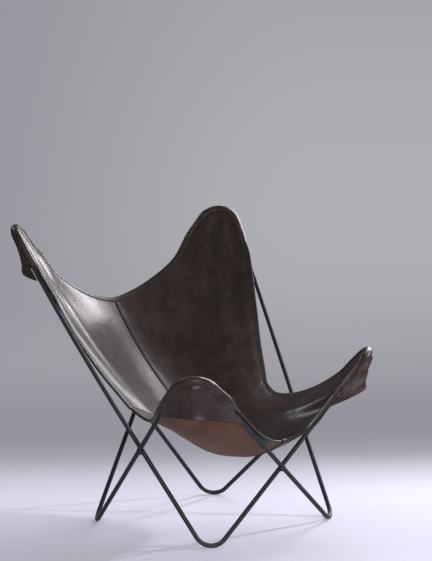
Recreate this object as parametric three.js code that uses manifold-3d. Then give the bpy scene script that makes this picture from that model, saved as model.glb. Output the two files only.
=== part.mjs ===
// Butterfly sling chair. Two closed loops of bent steel rod cross in each of the four faces of the
// frame, where they are welded, and a sewn leather sling hangs from the four peaks by its pockets.
// Millimetres, +Z up. The sitter faces -Y and the sitter's left hand is on +X.
import * as THREE from 'three';
import { mergeVertices } from 'three/addons/utils/BufferGeometryUtils.js';
import Module from 'manifold-3d';

const wasm = await Module();
wasm.setup();

// Frame sizes. A peak or foot is given by the corner where its two straight legs would meet.
const rodDiameter = 12.7;
const highPeak = { x: 487, y: 444, z: 983 };
const lowPeak = { x: 390, y: 349, z: 538 };
const rearFoot = { x: 234.3, y: 248 };
const frontFoot = { x: 244.7, y: 248 };
const highBendRadius = 53;
const lowBendRadius = 50;
const footBendRadius = 48;
const legBow = 27;
const bowStartShare = 0.346;
const bowTopShare = 0.885;
const footWearDepth = 0.5;
const weldRadius = 9.5;

// Sling sizes
const leatherThickness = 3;
const seamStripThickness = 2;
const seamStripWidth = 20;
const bindingDiameter = 8;
const rimShare = 0.88;
const creaseHeight = 2.2;
const creaseCount = 3;

// Clearances between pieces that touch
const touchGap = 0.3;
const sewnGap = 0.7;
const cutOverrun = 1;
const softGap = 1.8;
const loopSpacing = 1.2;

// How far the sling's edge spreads out beside the rod and puffs up off it, and the reach from the
// tip of the peak over which it does, on the leg of the open end (front or back of the chair) and
// of the chair's side
const highRim = { end: { spread: 26, reach: 130, puff: 18 }, side: { spread: 4, reach: 190, puff: 0 } };
const lowRim = { end: { spread: 20, reach: 130, puff: 0 }, side: { spread: 13, reach: 130, puff: 0 } };
const rimDroop = 0.6;

// Pocket flaps: their depth down the two legs, and how far the middle of the free edge stands off
// the rods and is drawn up towards the tip
const highFlap = { end: 190, side: 190, standOff: 43, rise: 30, curl: 1.5 };
const lowFlap = { end: 230, side: 185, standOff: 55, rise: 80, curl: 0.85 };
const flapStartShare = 0.04;

// Leather over the rods, and its creases
const rimStart = 25;
const ridgeExtra = 2.5;
const ridgeSlope = 0.8;
const ridgeReach = 40;
const panelReach = 420;
const creaseStartShare = 0.12;
const creaseEndShare = 0.62;

// Places on the sling, as shares of the corner of the nearer peak: [x, y, z]
const backNotchShares = [0, 0.946, 0.628];
const backEdgeShares = [[0.144, 0.941, 0.642], [0.308, 0.923, 0.676], [0.493, 0.901, 0.735]];
const sideSeamShares = [0.552, 0.088, 0.37];
const sideBackShares = [[0.586, 0.141, 0.405], [0.655, 0.255, 0.48], [0.739, 0.382, 0.585]];
const frontNotchShares = [0, -0.837, 0.498];
const frontEdgeShares = [[0.195, -0.882, 0.532], [0.385, -0.92, 0.615], [0.56, -0.967, 0.703]];
const sideFrontShares = [[0.672, -0.029, 0.628], [0.714, -0.172, 0.628], [0.815, -0.358, 0.673]];
const seatCentreShares = [0, 0.117, 0.26];
const backSeamShares = [[0, 0.27, 0.311], [0, 0.421, 0.371], [0, 0.59, 0.439], [0, 0.739, 0.511]];
const seatSeamShares = [[0, -0.057, 0.413], [0, -0.258, 0.386], [0, -0.458, 0.394], [0, -0.659, 0.433]];
const crossSeamShares = [[0.123, 0.113, 0.265], [0.267, 0.095, 0.302], [0.411, 0.077, 0.34]];

// Mesh fineness
const rodSides = 10;
const bendSteps = 10;
const legSteps = 8;
const panelCells = 18;
const tipCrowding = 0.55;
const flapCells = 8;
const flapRows = 8;
const tubeSides = 6;
const rollSteps = 5;
const weldSteps = 14;
const cutSides = 24;
const rimStations = 8;
const curveDivisions = 400;
const settlePasses = 3;

const rodRadius = rodDiameter / 2;
const bindingRadius = bindingDiameter / 2;
const halfLeather = leatherThickness / 2;
const seatLift = rodRadius + softGap + halfLeather;
const loopOffset = rodRadius + loopSpacing / 2;

const steelMaterial = new THREE.MeshStandardMaterial({ color: 0x282a2f, roughness: 0.45, metalness: 0.6 });
const leatherMaterial = new THREE.MeshStandardMaterial({ color: 0x33241d, roughness: 0.4 });
const flapMaterial = new THREE.MeshStandardMaterial({ color: 0x3d2a22, roughness: 0.45 });
const bindingMaterial = new THREE.MeshStandardMaterial({ color: 0x1f1714, roughness: 0.4 });
const stripMaterial = new THREE.MeshStandardMaterial({ color: 0x4a3428, roughness: 0.6 });

const chair = new THREE.Group();

function addPiece(name, geometry, material) {
  const mesh = new THREE.Mesh(geometry, material);
  mesh.name = name;
  chair.add(mesh);
}

// Conversions between three.js geometry and a solid that can be cut

function solidFrom(geometry) {
  const plain = geometry.clone();
  plain.deleteAttribute('normal');
  plain.deleteAttribute('uv');
  const merged = mergeVertices(plain);
  const vertProperties = new Float32Array(merged.attributes.position.array);
  const triVerts = new Uint32Array(merged.index.array);
  return new wasm.Manifold(new wasm.Mesh({ numProp: 3, vertProperties, triVerts }));
}

function geometryFrom(solid) {
  const mesh = solid.getMesh();
  const geometry = new THREE.BufferGeometry();
  geometry.setAttribute('position', new THREE.BufferAttribute(mesh.vertProperties, 3));
  geometry.setIndex(new THREE.BufferAttribute(mesh.triVerts, 1));
  geometry.computeVertexNormals();
  return geometry;
}

// A closed skin over a row of closed sections, each an array of the same number of points
function skinOver(sections) {
  const sides = sections[0].length;
  const positions = [];
  sections.forEach((section) => section.forEach((point) => positions.push(...point.toArray())));
  const index = [];
  for (let row = 0; row < sections.length - 1; row += 1) {
    for (let side = 0; side < sides; side += 1) {
      const a = row * sides + side;
      const b = row * sides + ((side + 1) % sides);
      index.push(a, b, b + sides, a, b + sides, a + sides);
    }
  }
  const last = (sections.length - 1) * sides;
  for (let side = 1; side < sides - 1; side += 1) {
    index.push(0, side + 1, side);
    index.push(last, last + side, last + side + 1);
  }
  return finished(positions, index);
}

// Turns the faces outward if they came out inside out
function finished(positions, index) {
  const geometry = new THREE.BufferGeometry();
  geometry.setAttribute('position', new THREE.Float32BufferAttribute(positions, 3));
  const corners = [new THREE.Vector3(), new THREE.Vector3(), new THREE.Vector3()];
  let volume = 0;
  for (let k = 0; k < index.length; k += 3) {
    corners.forEach((corner, n) => corner.fromArray(positions, 3 * index[k + n]));
    volume += corners[0].dot(corners[1].clone().cross(corners[2]));
  }
  geometry.setIndex(volume > 0 ? index : index.slice().reverse());
  geometry.computeVertexNormals();
  return geometry;
}

// A sheet of the given thickness about a grid of points
function sheetSolid(grid, normals, thickness) {
  const rows = grid.length;
  const columns = grid[0].length;
  const positions = [];
  [1, -1].forEach((face) => {
    grid.forEach((line, i) => line.forEach((point, j) => {
      positions.push(...point.clone().addScaledVector(normals[i][j], (face * thickness) / 2).toArray());
    }));
  });
  const size = rows * columns;
  const index = [];
  for (let i = 0; i < rows - 1; i += 1) {
    for (let j = 0; j < columns - 1; j += 1) {
      const a = i * columns + j;
      const b = a + columns;
      index.push(a, b, b + 1, a, b + 1, a + 1);
      index.push(size + a, size + b + 1, size + b, size + a, size + a + 1, size + b + 1);
    }
  }
  const border = [];
  for (let j = 0; j < columns - 1; j += 1) border.push(j);
  for (let i = 0; i < rows - 1; i += 1) border.push(i * columns + columns - 1);
  for (let j = columns - 1; j > 0; j -= 1) border.push((rows - 1) * columns + j);
  for (let i = rows - 1; i > 0; i -= 1) border.push(i * columns);
  border.forEach((a, k) => {
    const b = border[(k + 1) % border.length];
    index.push(a, b, size + b, a, size + b, size + a);
  });
  return finished(positions, index);
}

function gridNormals(grid) {
  const normals = grid.map((line) => line.map(() => new THREE.Vector3()));
  const triangle = (places) => {
    const [p, q, r] = places.map(([i, j]) => grid[i][j]);
    const normal = q.clone().sub(p).cross(r.clone().sub(p));
    places.forEach(([i, j]) => normals[i][j].add(normal));
  };
  for (let i = 0; i < grid.length - 1; i += 1) {
    for (let j = 0; j < grid[0].length - 1; j += 1) {
      triangle([[i, j], [i + 1, j], [i + 1, j + 1]]);
      triangle([[i, j], [i + 1, j + 1], [i, j + 1]]);
    }
  }
  normals.forEach((line) => line.forEach((normal) => normal.normalize()));
  return normals;
}

// Frame: the centreline of a loop

// Points around a bend of the given radius at an apex, from the leg towards one end to the other
function bendPoints(apex, from, to, radius) {
  const u = from.clone().sub(apex).normalize();
  const v = to.clone().sub(apex).normalize();
  const half = u.angleTo(v) / 2;
  const centre = u.clone().add(v).normalize().multiplyScalar(radius / Math.sin(half)).add(apex);
  const start = u.clone().multiplyScalar(radius / Math.tan(half)).add(apex).sub(centre);
  const end = v.clone().multiplyScalar(radius / Math.tan(half)).add(apex).sub(centre);
  const turn = Math.PI - 2 * half;
  const across = end.clone().addScaledVector(start, -Math.cos(turn)).divideScalar(Math.sin(turn));
  const points = [];
  for (let k = 0; k <= bendSteps; k += 1) {
    const angle = (turn * k) / bendSteps;
    const point = centre.clone().addScaledVector(start, Math.cos(angle));
    points.push(point.addScaledVector(across, Math.sin(angle)));
  }
  return points;
}

// Lifts or drops a foot's apex until its bend rests on the floor
function restOnFloor(foot, from, to) {
  for (let pass = 0; pass < settlePasses; pass += 1) {
    const lowest = Math.min(...bendPoints(foot, from, to, footBendRadius).map((point) => point.z));
    foot.z += rodRadius - lowest;
  }
}

// The leather pulls the tops of the long legs inward
function bowed(point, peak) {
  const outward = new THREE.Vector3(peak.x, peak.y, 0).normalize();
  const start = highPeak.z * bowStartShare;
  const rise = Math.max(point.z - start, 0) / (highPeak.z * bowTopShare - start);
  if (point.x * peak.x + point.y * peak.y > 0) point.addScaledVector(outward, -legBow * rise * rise);
  return point;
}

// The loop whose high peak is on the given side, as one closed row of points: high bend, leg,
// front foot, leg, low bend, leg, rear foot, leg. The outer loop has a positive offset.
function loopPath(side, offset) {
  const high = new THREE.Vector3(side * (highPeak.x + offset), highPeak.y + offset, highPeak.z);
  const front = new THREE.Vector3(side * (frontFoot.x + offset), -frontFoot.y - offset, 0);
  const low = new THREE.Vector3(-side * (lowPeak.x + offset), -lowPeak.y - offset, lowPeak.z);
  const rear = new THREE.Vector3(-side * (rearFoot.x + offset), rearFoot.y + offset, 0);
  restOnFloor(front, high, low);
  restOnFloor(rear, low, high);
  const bends = [
    bendPoints(high, rear, front, highBendRadius),
    bendPoints(front, high, low, footBendRadius),
    bendPoints(low, front, rear, lowBendRadius),
    bendPoints(rear, low, high, footBendRadius),
  ];
  const points = [];
  bends.forEach((bend, k) => {
    points.push(...bend);
    const next = bends[(k + 1) % bends.length];
    for (let step = 1; step < legSteps; step += 1) {
      points.push(bend[bendSteps].clone().lerp(next[0], step / legSteps));
    }
  });
  return points.map((point) => bowed(point, high));
}

// A curve that steps through given points, with rings square to the bisector at each of them
class RodCurve extends THREE.Curve {
  constructor(points) {
    super();
    this.points = points;
  }

  getPoint(t) {
    const place = t * (this.points.length - 1);
    const k = Math.min(Math.floor(place), this.points.length - 2);
    return this.points[k].clone().lerp(this.points[k + 1], place - k);
  }

  getTangent(t) {
    const k = Math.round(t * (this.points.length - 1));
    const tangent = new THREE.Vector3();
    if (k > 0) tangent.add(this.points[k].clone().sub(this.points[k - 1]).normalize());
    if (k < this.points.length - 1) tangent.add(this.points[k + 1].clone().sub(this.points[k]).normalize());
    return tangent.normalize();
  }

  getUtoTmapping(u) {
    return u;
  }
}

function tubeAlong(points, radius, sides) {
  const shape = new THREE.Shape();
  for (let k = 0; k < sides; k += 1) {
    const angle = (2 * Math.PI * k) / sides;
    const x = radius * Math.cos(angle);
    const y = radius * Math.sin(angle);
    if (k === 0) shape.moveTo(x, y);
    else shape.lineTo(x, y);
  }
  shape.closePath();
  const steps = points.length - 1;
  return new THREE.ExtrudeGeometry(shape, { steps, bevelEnabled: false, extrudePath: new RodCurve(points) });
}

// Moves the first and last point of a row inward along it, so two rods meet end to end with a gap
function trimmed(points, cut) {
  const row = points.map((point) => point.clone());
  const last = row.length - 1;
  row[0].add(points[1].clone().sub(points[0]).setLength(cut));
  row[last].add(points[last - 1].clone().sub(points[last]).setLength(cut));
  return row;
}

// A loop is two rods: one with the high peak and the rear foot, one with the low peak and the front
// foot. They are butted in the middle of two legs.
function addRods(path, loopName) {
  const bendStride = bendSteps + legSteps;
  const middle = bendSteps + legSteps / 2;
  const rolled = [...path.slice(middle), ...path.slice(0, middle + 1)];
  const half = 2 * bendStride;
  const rods = [['front', rolled.slice(0, half + 1)], ['rear', rolled.slice(half)]];
  rods.forEach(([name, row]) => {
    const rod = tubeAlong(trimmed(row, touchGap / 2), rodRadius, rodSides);
    const wearSize = 2 * footBendRadius + 2 * rodDiameter;
    const lowest = row.reduce((best, point) => (point.z < best.z ? point : best));
    const wear = new THREE.BoxGeometry(wearSize, wearSize, rodRadius);
    wear.translate(lowest.x, lowest.y, footWearDepth - rodRadius / 2);
    addPiece(`${loopName}_${name}_rod`, geometryFrom(solidFrom(rod).subtract(solidFrom(wear))), steelMaterial);
  });
}

// The nearest points of two rows of points that pass close to each other near a place
function crossingOf(pathA, pathB, isNear) {
  let best = { distance: Infinity };
  const segment = (path, k) => new THREE.Line3(path[k], path[(k + 1) % path.length]);
  pathA.forEach((_, a) => {
    pathB.forEach((__, b) => {
      const lineA = segment(pathA, a);
      const lineB = segment(pathB, b);
      if (!isNear(lineA.at(0.5, new THREE.Vector3()))) return;
      const onA = new THREE.Vector3();
      const onB = new THREE.Vector3();
      nearestOnLines(lineA, lineB, onA, onB);
      const distance = onA.distanceTo(onB);
      if (distance < best.distance) best = { distance, onA, onB };
    });
  });
  return best.onA.clone().add(best.onB).divideScalar(2);
}

// Alternating projections settle on the closest pair of points of two segments
function nearestOnLines(lineA, lineB, onA, onB) {
  lineA.at(0.5, onA);
  for (let pass = 0; pass < settlePasses * settlePasses; pass += 1) {
    lineB.closestPointToPoint(onA, true, onB);
    lineA.closestPointToPoint(onB, true, onA);
  }
}

// The bead of filler metal round the touching point of two crossing rods
function addWeld(name, isNear) {
  const centre = crossingOf(outerPath, innerPath, isNear);
  const ball = new THREE.SphereGeometry(weldRadius, weldSteps, weldSteps / 2);
  ball.translate(centre.x, centre.y, centre.z);
  addPiece(name, clearOfRods(ball, centre, 2 * weldRadius), steelMaterial);
}

// Cuts from a piece the room that the rods take near a place
function clearOfRods(geometry, centre, reach) {
  let rest = solidFrom(geometry);
  [outerPath, innerPath].forEach((path) => {
    path.forEach((point, k) => {
      const leg = new THREE.Line3(point, path[(k + 1) % path.length]);
      const nearest = leg.closestPointToPoint(centre, true, new THREE.Vector3());
      if (nearest.distanceTo(centre) > reach) return;
      const overrun = leg.delta(new THREE.Vector3()).setLength(cutOverrun);
      const ends = [leg.start.clone().sub(overrun), leg.end.clone().add(overrun)];
      rest = rest.subtract(solidFrom(tubeAlong(ends, rodRadius + touchGap, cutSides)));
    });
  });
  return geometryFrom(rest);
}

// Sling: a peak of one loop, with distances measured along the rod from the middle of its bend.
// The side leg goes down the chair's side, and the end leg across its front or back.
class Peak {
  constructor(path, isHigh) {
    const tipIndex = (isHigh ? 0 : 2 * (bendSteps + legSteps)) + bendSteps / 2;
    const reach = bendSteps + legSteps;
    this.rows = { side: [], end: [] };
    for (let k = 0; k <= reach; k += 1) {
      this.rows.side.push(path[(tipIndex + k) % path.length]);
      this.rows.end.push(path[(tipIndex - k + path.length) % path.length]);
    }
    this.rim = isHigh ? highRim : lowRim;
    this.flap = isHigh ? highFlap : lowFlap;
    this.tip = path[tipIndex];
    const side = this.at('side', this.flap.side).sub(this.tip);
    const end = this.at('end', this.flap.side).sub(this.tip);
    this.normal = side.clone().cross(end).normalize();
    if (this.normal.z < 0) this.normal.negate();
    this.inside = side.add(end).divideScalar(2).add(this.tip);
  }

  at(leg, distance) {
    return walk(this.rows[leg], distance);
  }

  // Where the panel's edge lies: over the rod at the tip, and beside it further down, where it
  // may puff up off the rod as well
  rimPoint(leg, distance) {
    const point = this.at(leg, distance);
    const along = this.at(leg, distance + rodRadius).sub(point);
    const out = along.cross(this.normal).normalize();
    if (out.dot(this.inside.clone().sub(point)) > 0) out.negate();
    const { spread: widest, reach, puff } = this.rim[leg];
    const spread = widest * smooth((distance - rimStart) / (reach - rimStart));
    const height = liftOver(spread) + puff * (distance / reach) ** 2;
    return point.addScaledVector(out, spread).addScaledVector(this.normal, height);
  }

  // The panel's edge along the rod, up to the tip
  rimPoints(leg) {
    const points = [];
    for (let step = 0; step < rimStations; step += 1) {
      points.push(this.rimPoint(leg, this.rim[leg].reach * (1 - step / rimStations)));
    }
    points.push(this.rimPoint('side', 0));
    return points;
  }
}

// The point at a distance along a row of points
function walk(row, distance) {
  let left = distance;
  for (let k = 0; k < row.length - 1; k += 1) {
    const length = row[k].distanceTo(row[k + 1]);
    if (left <= length) return row[k].clone().lerp(row[k + 1], left / length);
    left -= length;
  }
  return row[row.length - 1].clone();
}

// The height of the leather over a rod's centre at a distance beside it: it follows the round of
// the rod, then leaves it and droops
function liftOver(aside) {
  const leaves = seatLift * Math.sin(Math.atan(rimDroop));
  const round = Math.sqrt(seatLift ** 2 - Math.min(aside, leaves) ** 2);
  return round - rimDroop * Math.max(aside - leaves, 0);
}

function smooth(share) {
  const t = Math.min(Math.max(share, 0), 1);
  return t * t * (3 - 2 * t);
}

// A place on the sling from its shares of the nearer peak's corner
function placeOf(shares, peak, side) {
  return new THREE.Vector3(side * shares[0] * peak.x, shares[1] * peak.y, shares[2] * peak.z);
}

function slingCurve(points) {
  const curve = new THREE.CatmullRomCurve3(points, false, 'centripetal');
  curve.arcLengthDivisions = curveDivisions;
  return curve;
}

// The seams and edges of the sling's half on one side of the chair
function slingCurves(side) {
  const places = (list, peak) => list.map((shares) => placeOf(shares, peak, side));
  const high = highPeaks[side];
  const low = lowPeaks[side];
  const centre = placeOf(seatCentreShares, highPeak, side);
  const seam = placeOf(sideSeamShares, highPeak, side);
  const back = placeOf(backNotchShares, highPeak, side);
  const front = placeOf(frontNotchShares, lowPeak, side);
  return {
    cross: slingCurve([centre, ...places(crossSeamShares, highPeak), seam]),
    rear: {
      middle: slingCurve([centre, ...places(backSeamShares, highPeak), back]),
      open: slingCurve([back, ...places(backEdgeShares, highPeak), ...high.rimPoints('end')]),
      side: slingCurve([seam, ...places(sideBackShares, highPeak), ...high.rimPoints('side')]),
      peak: high,
    },
    front: {
      middle: slingCurve([centre, ...places(seatSeamShares, lowPeak), front]),
      open: slingCurve([front, ...places(frontEdgeShares, lowPeak), ...low.rimPoints('end')]),
      side: slingCurve([seam, ...places(sideFrontShares, lowPeak), ...low.rimPoints('side')]),
      peak: low,
    },
  };
}

// Stations from the middle of the chair to the tip of a peak, closer together at the tip
function stations() {
  const list = [];
  for (let k = 0; k <= panelCells; k += 1) {
    const t = k / panelCells;
    list.push(t + tipCrowding * t * (1 - t));
  }
  return list;
}

// A quarter of the sling, spanned between its four border curves. The blending leaves it smooth
// across the seams. Soft creases fan out from the tip of the peak.
function quarterGrid(curves, quarter) {
  const steps = stations();
  const along = (curve) => steps.map((t) => curve.getPointAt(t));
  const cross = along(curves.cross);
  const middle = along(quarter.middle);
  const open = along(quarter.open);
  const side = along(quarter.side);
  const last = panelCells;
  const spanned = steps.map((a, i) => steps.map((b, j) => {
    const wa = smooth(a);
    const wb = smooth(b);
    const point = cross[i].clone().multiplyScalar(1 - wb).addScaledVector(open[i], wb);
    point.addScaledVector(middle[j], 1 - wa).addScaledVector(side[j], wa);
    point.addScaledVector(cross[0], -(1 - wa) * (1 - wb)).addScaledVector(cross[last], -wa * (1 - wb));
    return point.addScaledVector(open[0], -(1 - wa) * wb).addScaledVector(open[last], -wa * wb);
  }));
  return spanned.map((line, i) => line.map((spot, j) => {
    const point = spot.clone();
    if (i === last && isNearTip(quarter.side, steps[j], quarter.peak.rim.side.reach)) return point;
    if (j === last && isNearTip(quarter.open, steps[i], quarter.peak.rim.end.reach)) return point;
    const spacing = Math.max(spot.distanceTo(spanned[i ? i - 1 : 1][j]), spot.distanceTo(line[j ? j - 1 : 1]));
    if (i < last && j < last) point.addScaledVector(quarter.peak.normal, creaseAt(1 - steps[i], 1 - steps[j]));
    const besideEdge = Math.max(i, j) === last - 1;
    return overRods(point, quarter.peak.normal, besideEdge ? spacing : spacing / 2);
  }));
}

// Whether a place on a panel's edge lies within a distance of the tip
function isNearTip(curve, share, distance) {
  return (1 - share) * curve.getLength() < distance;
}

function creaseAt(fromSide, fromOpen) {
  const reach = (fromSide + fromOpen) / 2;
  const fan = fromSide / (fromSide + fromOpen);
  const fade = smooth(reach / creaseStartShare) * smooth((creaseEndShare - reach) / creaseStartShare);
  return creaseHeight * fade * Math.sin(2 * Math.PI * creaseCount * fan);
}

// Lifts a point of the leather, along the given direction, over a rod that it passes. The ridge is
// flat for a stretch beside the rod, so the facets between its points clear the rod too.
function overRods(point, direction, flatReach) {
  [outerPath, innerPath].forEach((path) => {
    path.forEach((start, k) => {
      const leg = new THREE.Line3(start, path[(k + 1) % path.length]);
      const nearest = leg.closestPointToPoint(point, true, new THREE.Vector3());
      const away = point.clone().sub(nearest);
      const height = away.dot(direction);
      const aside = Math.sqrt(Math.max(away.lengthSq() - height ** 2, 0));
      if (aside > ridgeReach || Math.abs(height) > ridgeReach) return;
      const fall = ridgeSlope * Math.max(aside - flatReach, 0);
      const wanted = seatLift + ridgeExtra - fall;
      if (height < wanted) point.addScaledVector(direction, wanted - height);
    });
  });
  return point;
}

// Half of the sling as one grid: columns from the middle seam to the side, rows from front to back
function slingHalf(side) {
  const curves = slingCurves(side);
  const rear = quarterGrid(curves, curves.rear);
  const front = quarterGrid(curves, curves.front);
  const grid = rear.map((column, i) => [...front[i].slice(1).reverse(), ...column]);
  const normals = gridNormals(grid);
  const sign = normals[0][panelCells].z > 0 ? 1 : -1;
  normals.forEach((line) => line.forEach((normal) => normal.multiplyScalar(sign)));
  normals[0].forEach((normal) => normal.setX(0).normalize());
  const lastRow = 2 * panelCells;
  stations().forEach((share, k) => {
    const { front, rear } = curves;
    const edge = normals[panelCells];
    if (isNearTip(front.open, share, lowFlap.end)) normals[k][0].copy(front.peak.normal);
    if (isNearTip(rear.open, share, highFlap.end)) normals[k][lastRow].copy(rear.peak.normal);
    if (isNearTip(front.side, share, lowFlap.side)) edge[panelCells - k].copy(front.peak.normal);
    if (isNearTip(rear.side, share, highFlap.side)) edge[panelCells + k].copy(rear.peak.normal);
  });
  return { grid, normals, curves };
}

// The two panels of a half, drawn back from the seams by half a gap
function addPanels(half, side, sideName) {
  const parts = [['seat', 0, panelCells, 1], ['back', panelCells, 2 * panelCells, -1]];
  parts.forEach(([name, from, to, seamDirection]) => {
    const grid = half.grid.map((line) => line.slice(from, to + 1).map((point) => point.clone()));
    const normals = half.normals.map((line) => line.slice(from, to + 1));
    const seamRow = seamDirection > 0 ? panelCells : 0;
    grid.forEach((line) => {
      const inward = line[seamRow - seamDirection].clone().sub(line[seamRow]);
      line[seamRow].add(inward.setLength(touchGap / 2));
    });
    grid[0].forEach((point) => point.setX((side * touchGap) / 2));
    const sheet = sheetSolid(grid, normals, leatherThickness);
    const tip = seamDirection > 0 ? lowPeaks[side].tip : highPeaks[side].tip;
    addPiece(`${name}_panel_${sideName}`, clearOfRods(sheet, tip, panelReach), leatherMaterial);
  });
}

// The stations of a panel's two edges at a peak, from the tip outward
function edgeStations(half, isHigh) {
  const last = panelCells;
  const row = isHigh ? 2 * last : 0;
  const inward = isHigh ? -1 : 1;
  const pick = (i, j, besideI, besideJ) => ({
    point: half.grid[i][j],
    normal: half.normals[i][j],
    inner: half.grid[besideI][besideJ],
  });
  const edges = { end: [], side: [] };
  for (let k = 0; k <= last; k += 1) {
    edges.end.push(pick(last - k, row, last - k, row + inward));
    edges.side.push(pick(last, row + inward * k, last - 1, row + inward * k));
  }
  edges.side[0] = pick(last, row, last - 1, row + inward);
  edges.end[0] = edges.side[0];
  return edges;
}

// Gives each station of a row its outward direction, in the leather and square to the edge
function withOutward(row) {
  return row.map((station, k) => {
    const before = row[Math.max(k - 1, 0)].point;
    const after = row[Math.min(k + 1, row.length - 1)].point;
    const out = after.clone().sub(before).cross(station.normal).normalize();
    if (out.dot(station.inner.clone().sub(station.point)) > 0) out.negate();
    return { ...station, out };
  });
}

// How many stations lie within a distance of the tip
function stationsWithin(row, distance) {
  let travelled = 0;
  let count = 0;
  while (count < row.length - 1) {
    travelled += row[count].point.distanceTo(row[count + 1].point);
    if (travelled > distance) break;
    count += 1;
  }
  return count;
}

// How thick the pocket is at a station: it holds the rod at the tip and closes beside it
function rollRadiusAt(station, direction) {
  let radius = bindingRadius;
  [outerPath, innerPath].forEach((path) => {
    path.forEach((start, k) => {
      const leg = new THREE.Line3(start, path[(k + 1) % path.length]);
      const away = station.point.clone().sub(leg.closestPointToPoint(station.point, true, new THREE.Vector3()));
      const height = away.dot(direction);
      const aside = Math.sqrt(Math.max(away.lengthSq() - height ** 2, 0));
      if (aside > ridgeReach || Math.abs(height) > ridgeReach) return;
      radius = Math.max(radius, (height + liftOver(aside)) / 2);
    });
  });
  return radius;
}

// A pocket: the rolled rim over the rod, and the outer flap that hangs from it
function addPocket(half, peak, isHigh, pieceName) {
  const edges = edgeStations(half, isHigh);
  const rimCount = {
    end: stationsWithin(edges.end, rimShare * peak.flap.end),
    side: stationsWithin(edges.side, rimShare * peak.flap.side),
  };
  const down = peak.normal.clone().negate();
  const middle = edges.end.length - 1;
  const row = withOutward([...edges.end.slice(1).reverse(), ...edges.side]).map((station) => {
    return { ...station, radius: rollRadiusAt(station, peak.normal) };
  });
  const sections = row.slice(middle - rimCount.end, middle + rimCount.side + 1);
  const rim = skinOver(sections.map((station) => rollSection(station, down)));
  addPiece(`${pieceName}_rim`, clearOfRods(rim, peak.tip, 2 * peak.flap.end), flapMaterial);
  const seam = row.map(({ point, radius, out }) => {
    return point.clone().addScaledVector(down, 2 * radius).addScaledVector(out, -sewnGap);
  });
  const flap = sheetSolid(...flapGrid(peak, seam.slice(0, middle + 1).reverse(), seam.slice(middle), down), leatherThickness);
  addPiece(`${pieceName}_flap`, clearOfRods(flap, peak.tip, 2 * peak.flap.end), flapMaterial);
  return rimCount;
}

// Rows of points from leg to leg, down to the free edge, whose middle stands off the rods
function flapGrid(peak, endSeam, sideSeam, down) {
  const { end, side, standOff, rise, curl } = peak.flap;
  const up = peak.tip.clone().sub(peak.inside).normalize();
  const grid = [];
  for (let k = 0; k <= flapRows; k += 1) {
    const depth = flapStartShare + (1 - flapStartShare) * (k / flapRows);
    const from = walk(endSeam, end * depth);
    const to = walk(sideSeam, side * depth);
    const cell = from.distanceTo(to) / flapCells;
    const line = [];
    for (let n = 0; n <= flapCells; n += 1) {
      const across = n / flapCells;
      const arch = 4 * across * (1 - across);
      const point = from.clone().lerp(to, across);
      point.addScaledVector(down, arch * standOff * depth ** curl).addScaledVector(up, arch * rise * depth ** 2);
      const besideSeam = n === 1 || n === flapCells - 1;
      const isSeam = n === 0 || n === flapCells;
      line.push(isSeam ? point : overRods(point, down, besideSeam ? cell : cell / 2));
    }
    grid.push(line);
  }
  const normals = gridNormals(grid);
  const sign = normals[0][flapCells / 2].dot(down) > 0 ? 1 : -1;
  normals.forEach((line) => {
    line.forEach((normal) => normal.multiplyScalar(sign));
    line[0].copy(down);
    line[flapCells].copy(down);
  });
  return [grid, normals];
}

// Half a ring of leather, from the panel's edge round the outside to the flap's edge
function rollSection(station, down) {
  const centre = station.point.clone().addScaledVector(down, station.radius);
  centre.addScaledVector(station.out, sewnGap);
  const points = [];
  const arc = (radius, from, to) => {
    for (let k = 0; k <= rollSteps; k += 1) {
      const angle = from + ((to - from) * k) / rollSteps;
      const point = centre.clone().addScaledVector(station.out, radius * Math.cos(angle));
      points.push(point.addScaledVector(down, -radius * Math.sin(angle)));
    }
  };
  arc(station.radius + halfLeather, Math.PI / 2, -Math.PI / 2);
  arc(station.radius - halfLeather, -Math.PI / 2, Math.PI / 2);
  return points;
}

// The bound edge between two pockets, a roll along the panels' free edge
function addBinding(name, row) {
  const centres = withOutward(row).map((station) => {
    return station.point.clone().addScaledVector(station.out, bindingRadius + sewnGap);
  });
  addPiece(name, tubeAlong(trimmed(centres, cutOverrun), bindingRadius, tubeSides), bindingMaterial);
}

// The strip stitched under a seam. Each row holds the seam's station and its neighbours each side.
function addSeamStrip(name, rows) {
  const grid = [];
  const normals = [];
  rows.forEach(({ seam, beside }) => {
    const reach = seamStripWidth / 2;
    const stationAt = (other) => {
      const share = reach / other.point.distanceTo(seam.point);
      return {
        point: seam.point.clone().lerp(other.point, share),
        normal: seam.normal.clone().lerp(other.normal, share).normalize(),
      };
    };
    const line = [stationAt(beside[0]), seam, stationAt(beside[1])];
    const drop = halfLeather + touchGap + seamStripThickness / 2;
    grid.push(line.map(({ point, normal }) => point.clone().addScaledVector(normal, -drop)));
    normals.push(line.map(({ normal }) => normal));
  });
  addPiece(name, sheetSolid(grid, normals, seamStripThickness), stripMaterial);
}

const outerPath = loopPath(1, loopOffset);
const innerPath = loopPath(-1, -loopOffset);
const highPeaks = { 1: new Peak(outerPath, true), [-1]: new Peak(innerPath, true) };
const lowPeaks = { 1: new Peak(innerPath, false), [-1]: new Peak(outerPath, false) };

addRods(outerPath, 'outer');
addRods(innerPath, 'inner');
addWeld('front_weld', (place) => place.y < -frontFoot.y);
addWeld('rear_weld', (place) => place.y > rearFoot.y);
addWeld('left_weld', (place) => place.x > frontFoot.x && Math.abs(place.y) < rearFoot.y);
addWeld('right_weld', (place) => place.x < -frontFoot.x && Math.abs(place.y) < rearFoot.y);

const halves = { left: slingHalf(1), right: slingHalf(-1) };
addPanels(halves.left, 1, 'left');
addPanels(halves.right, -1, 'right');

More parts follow.
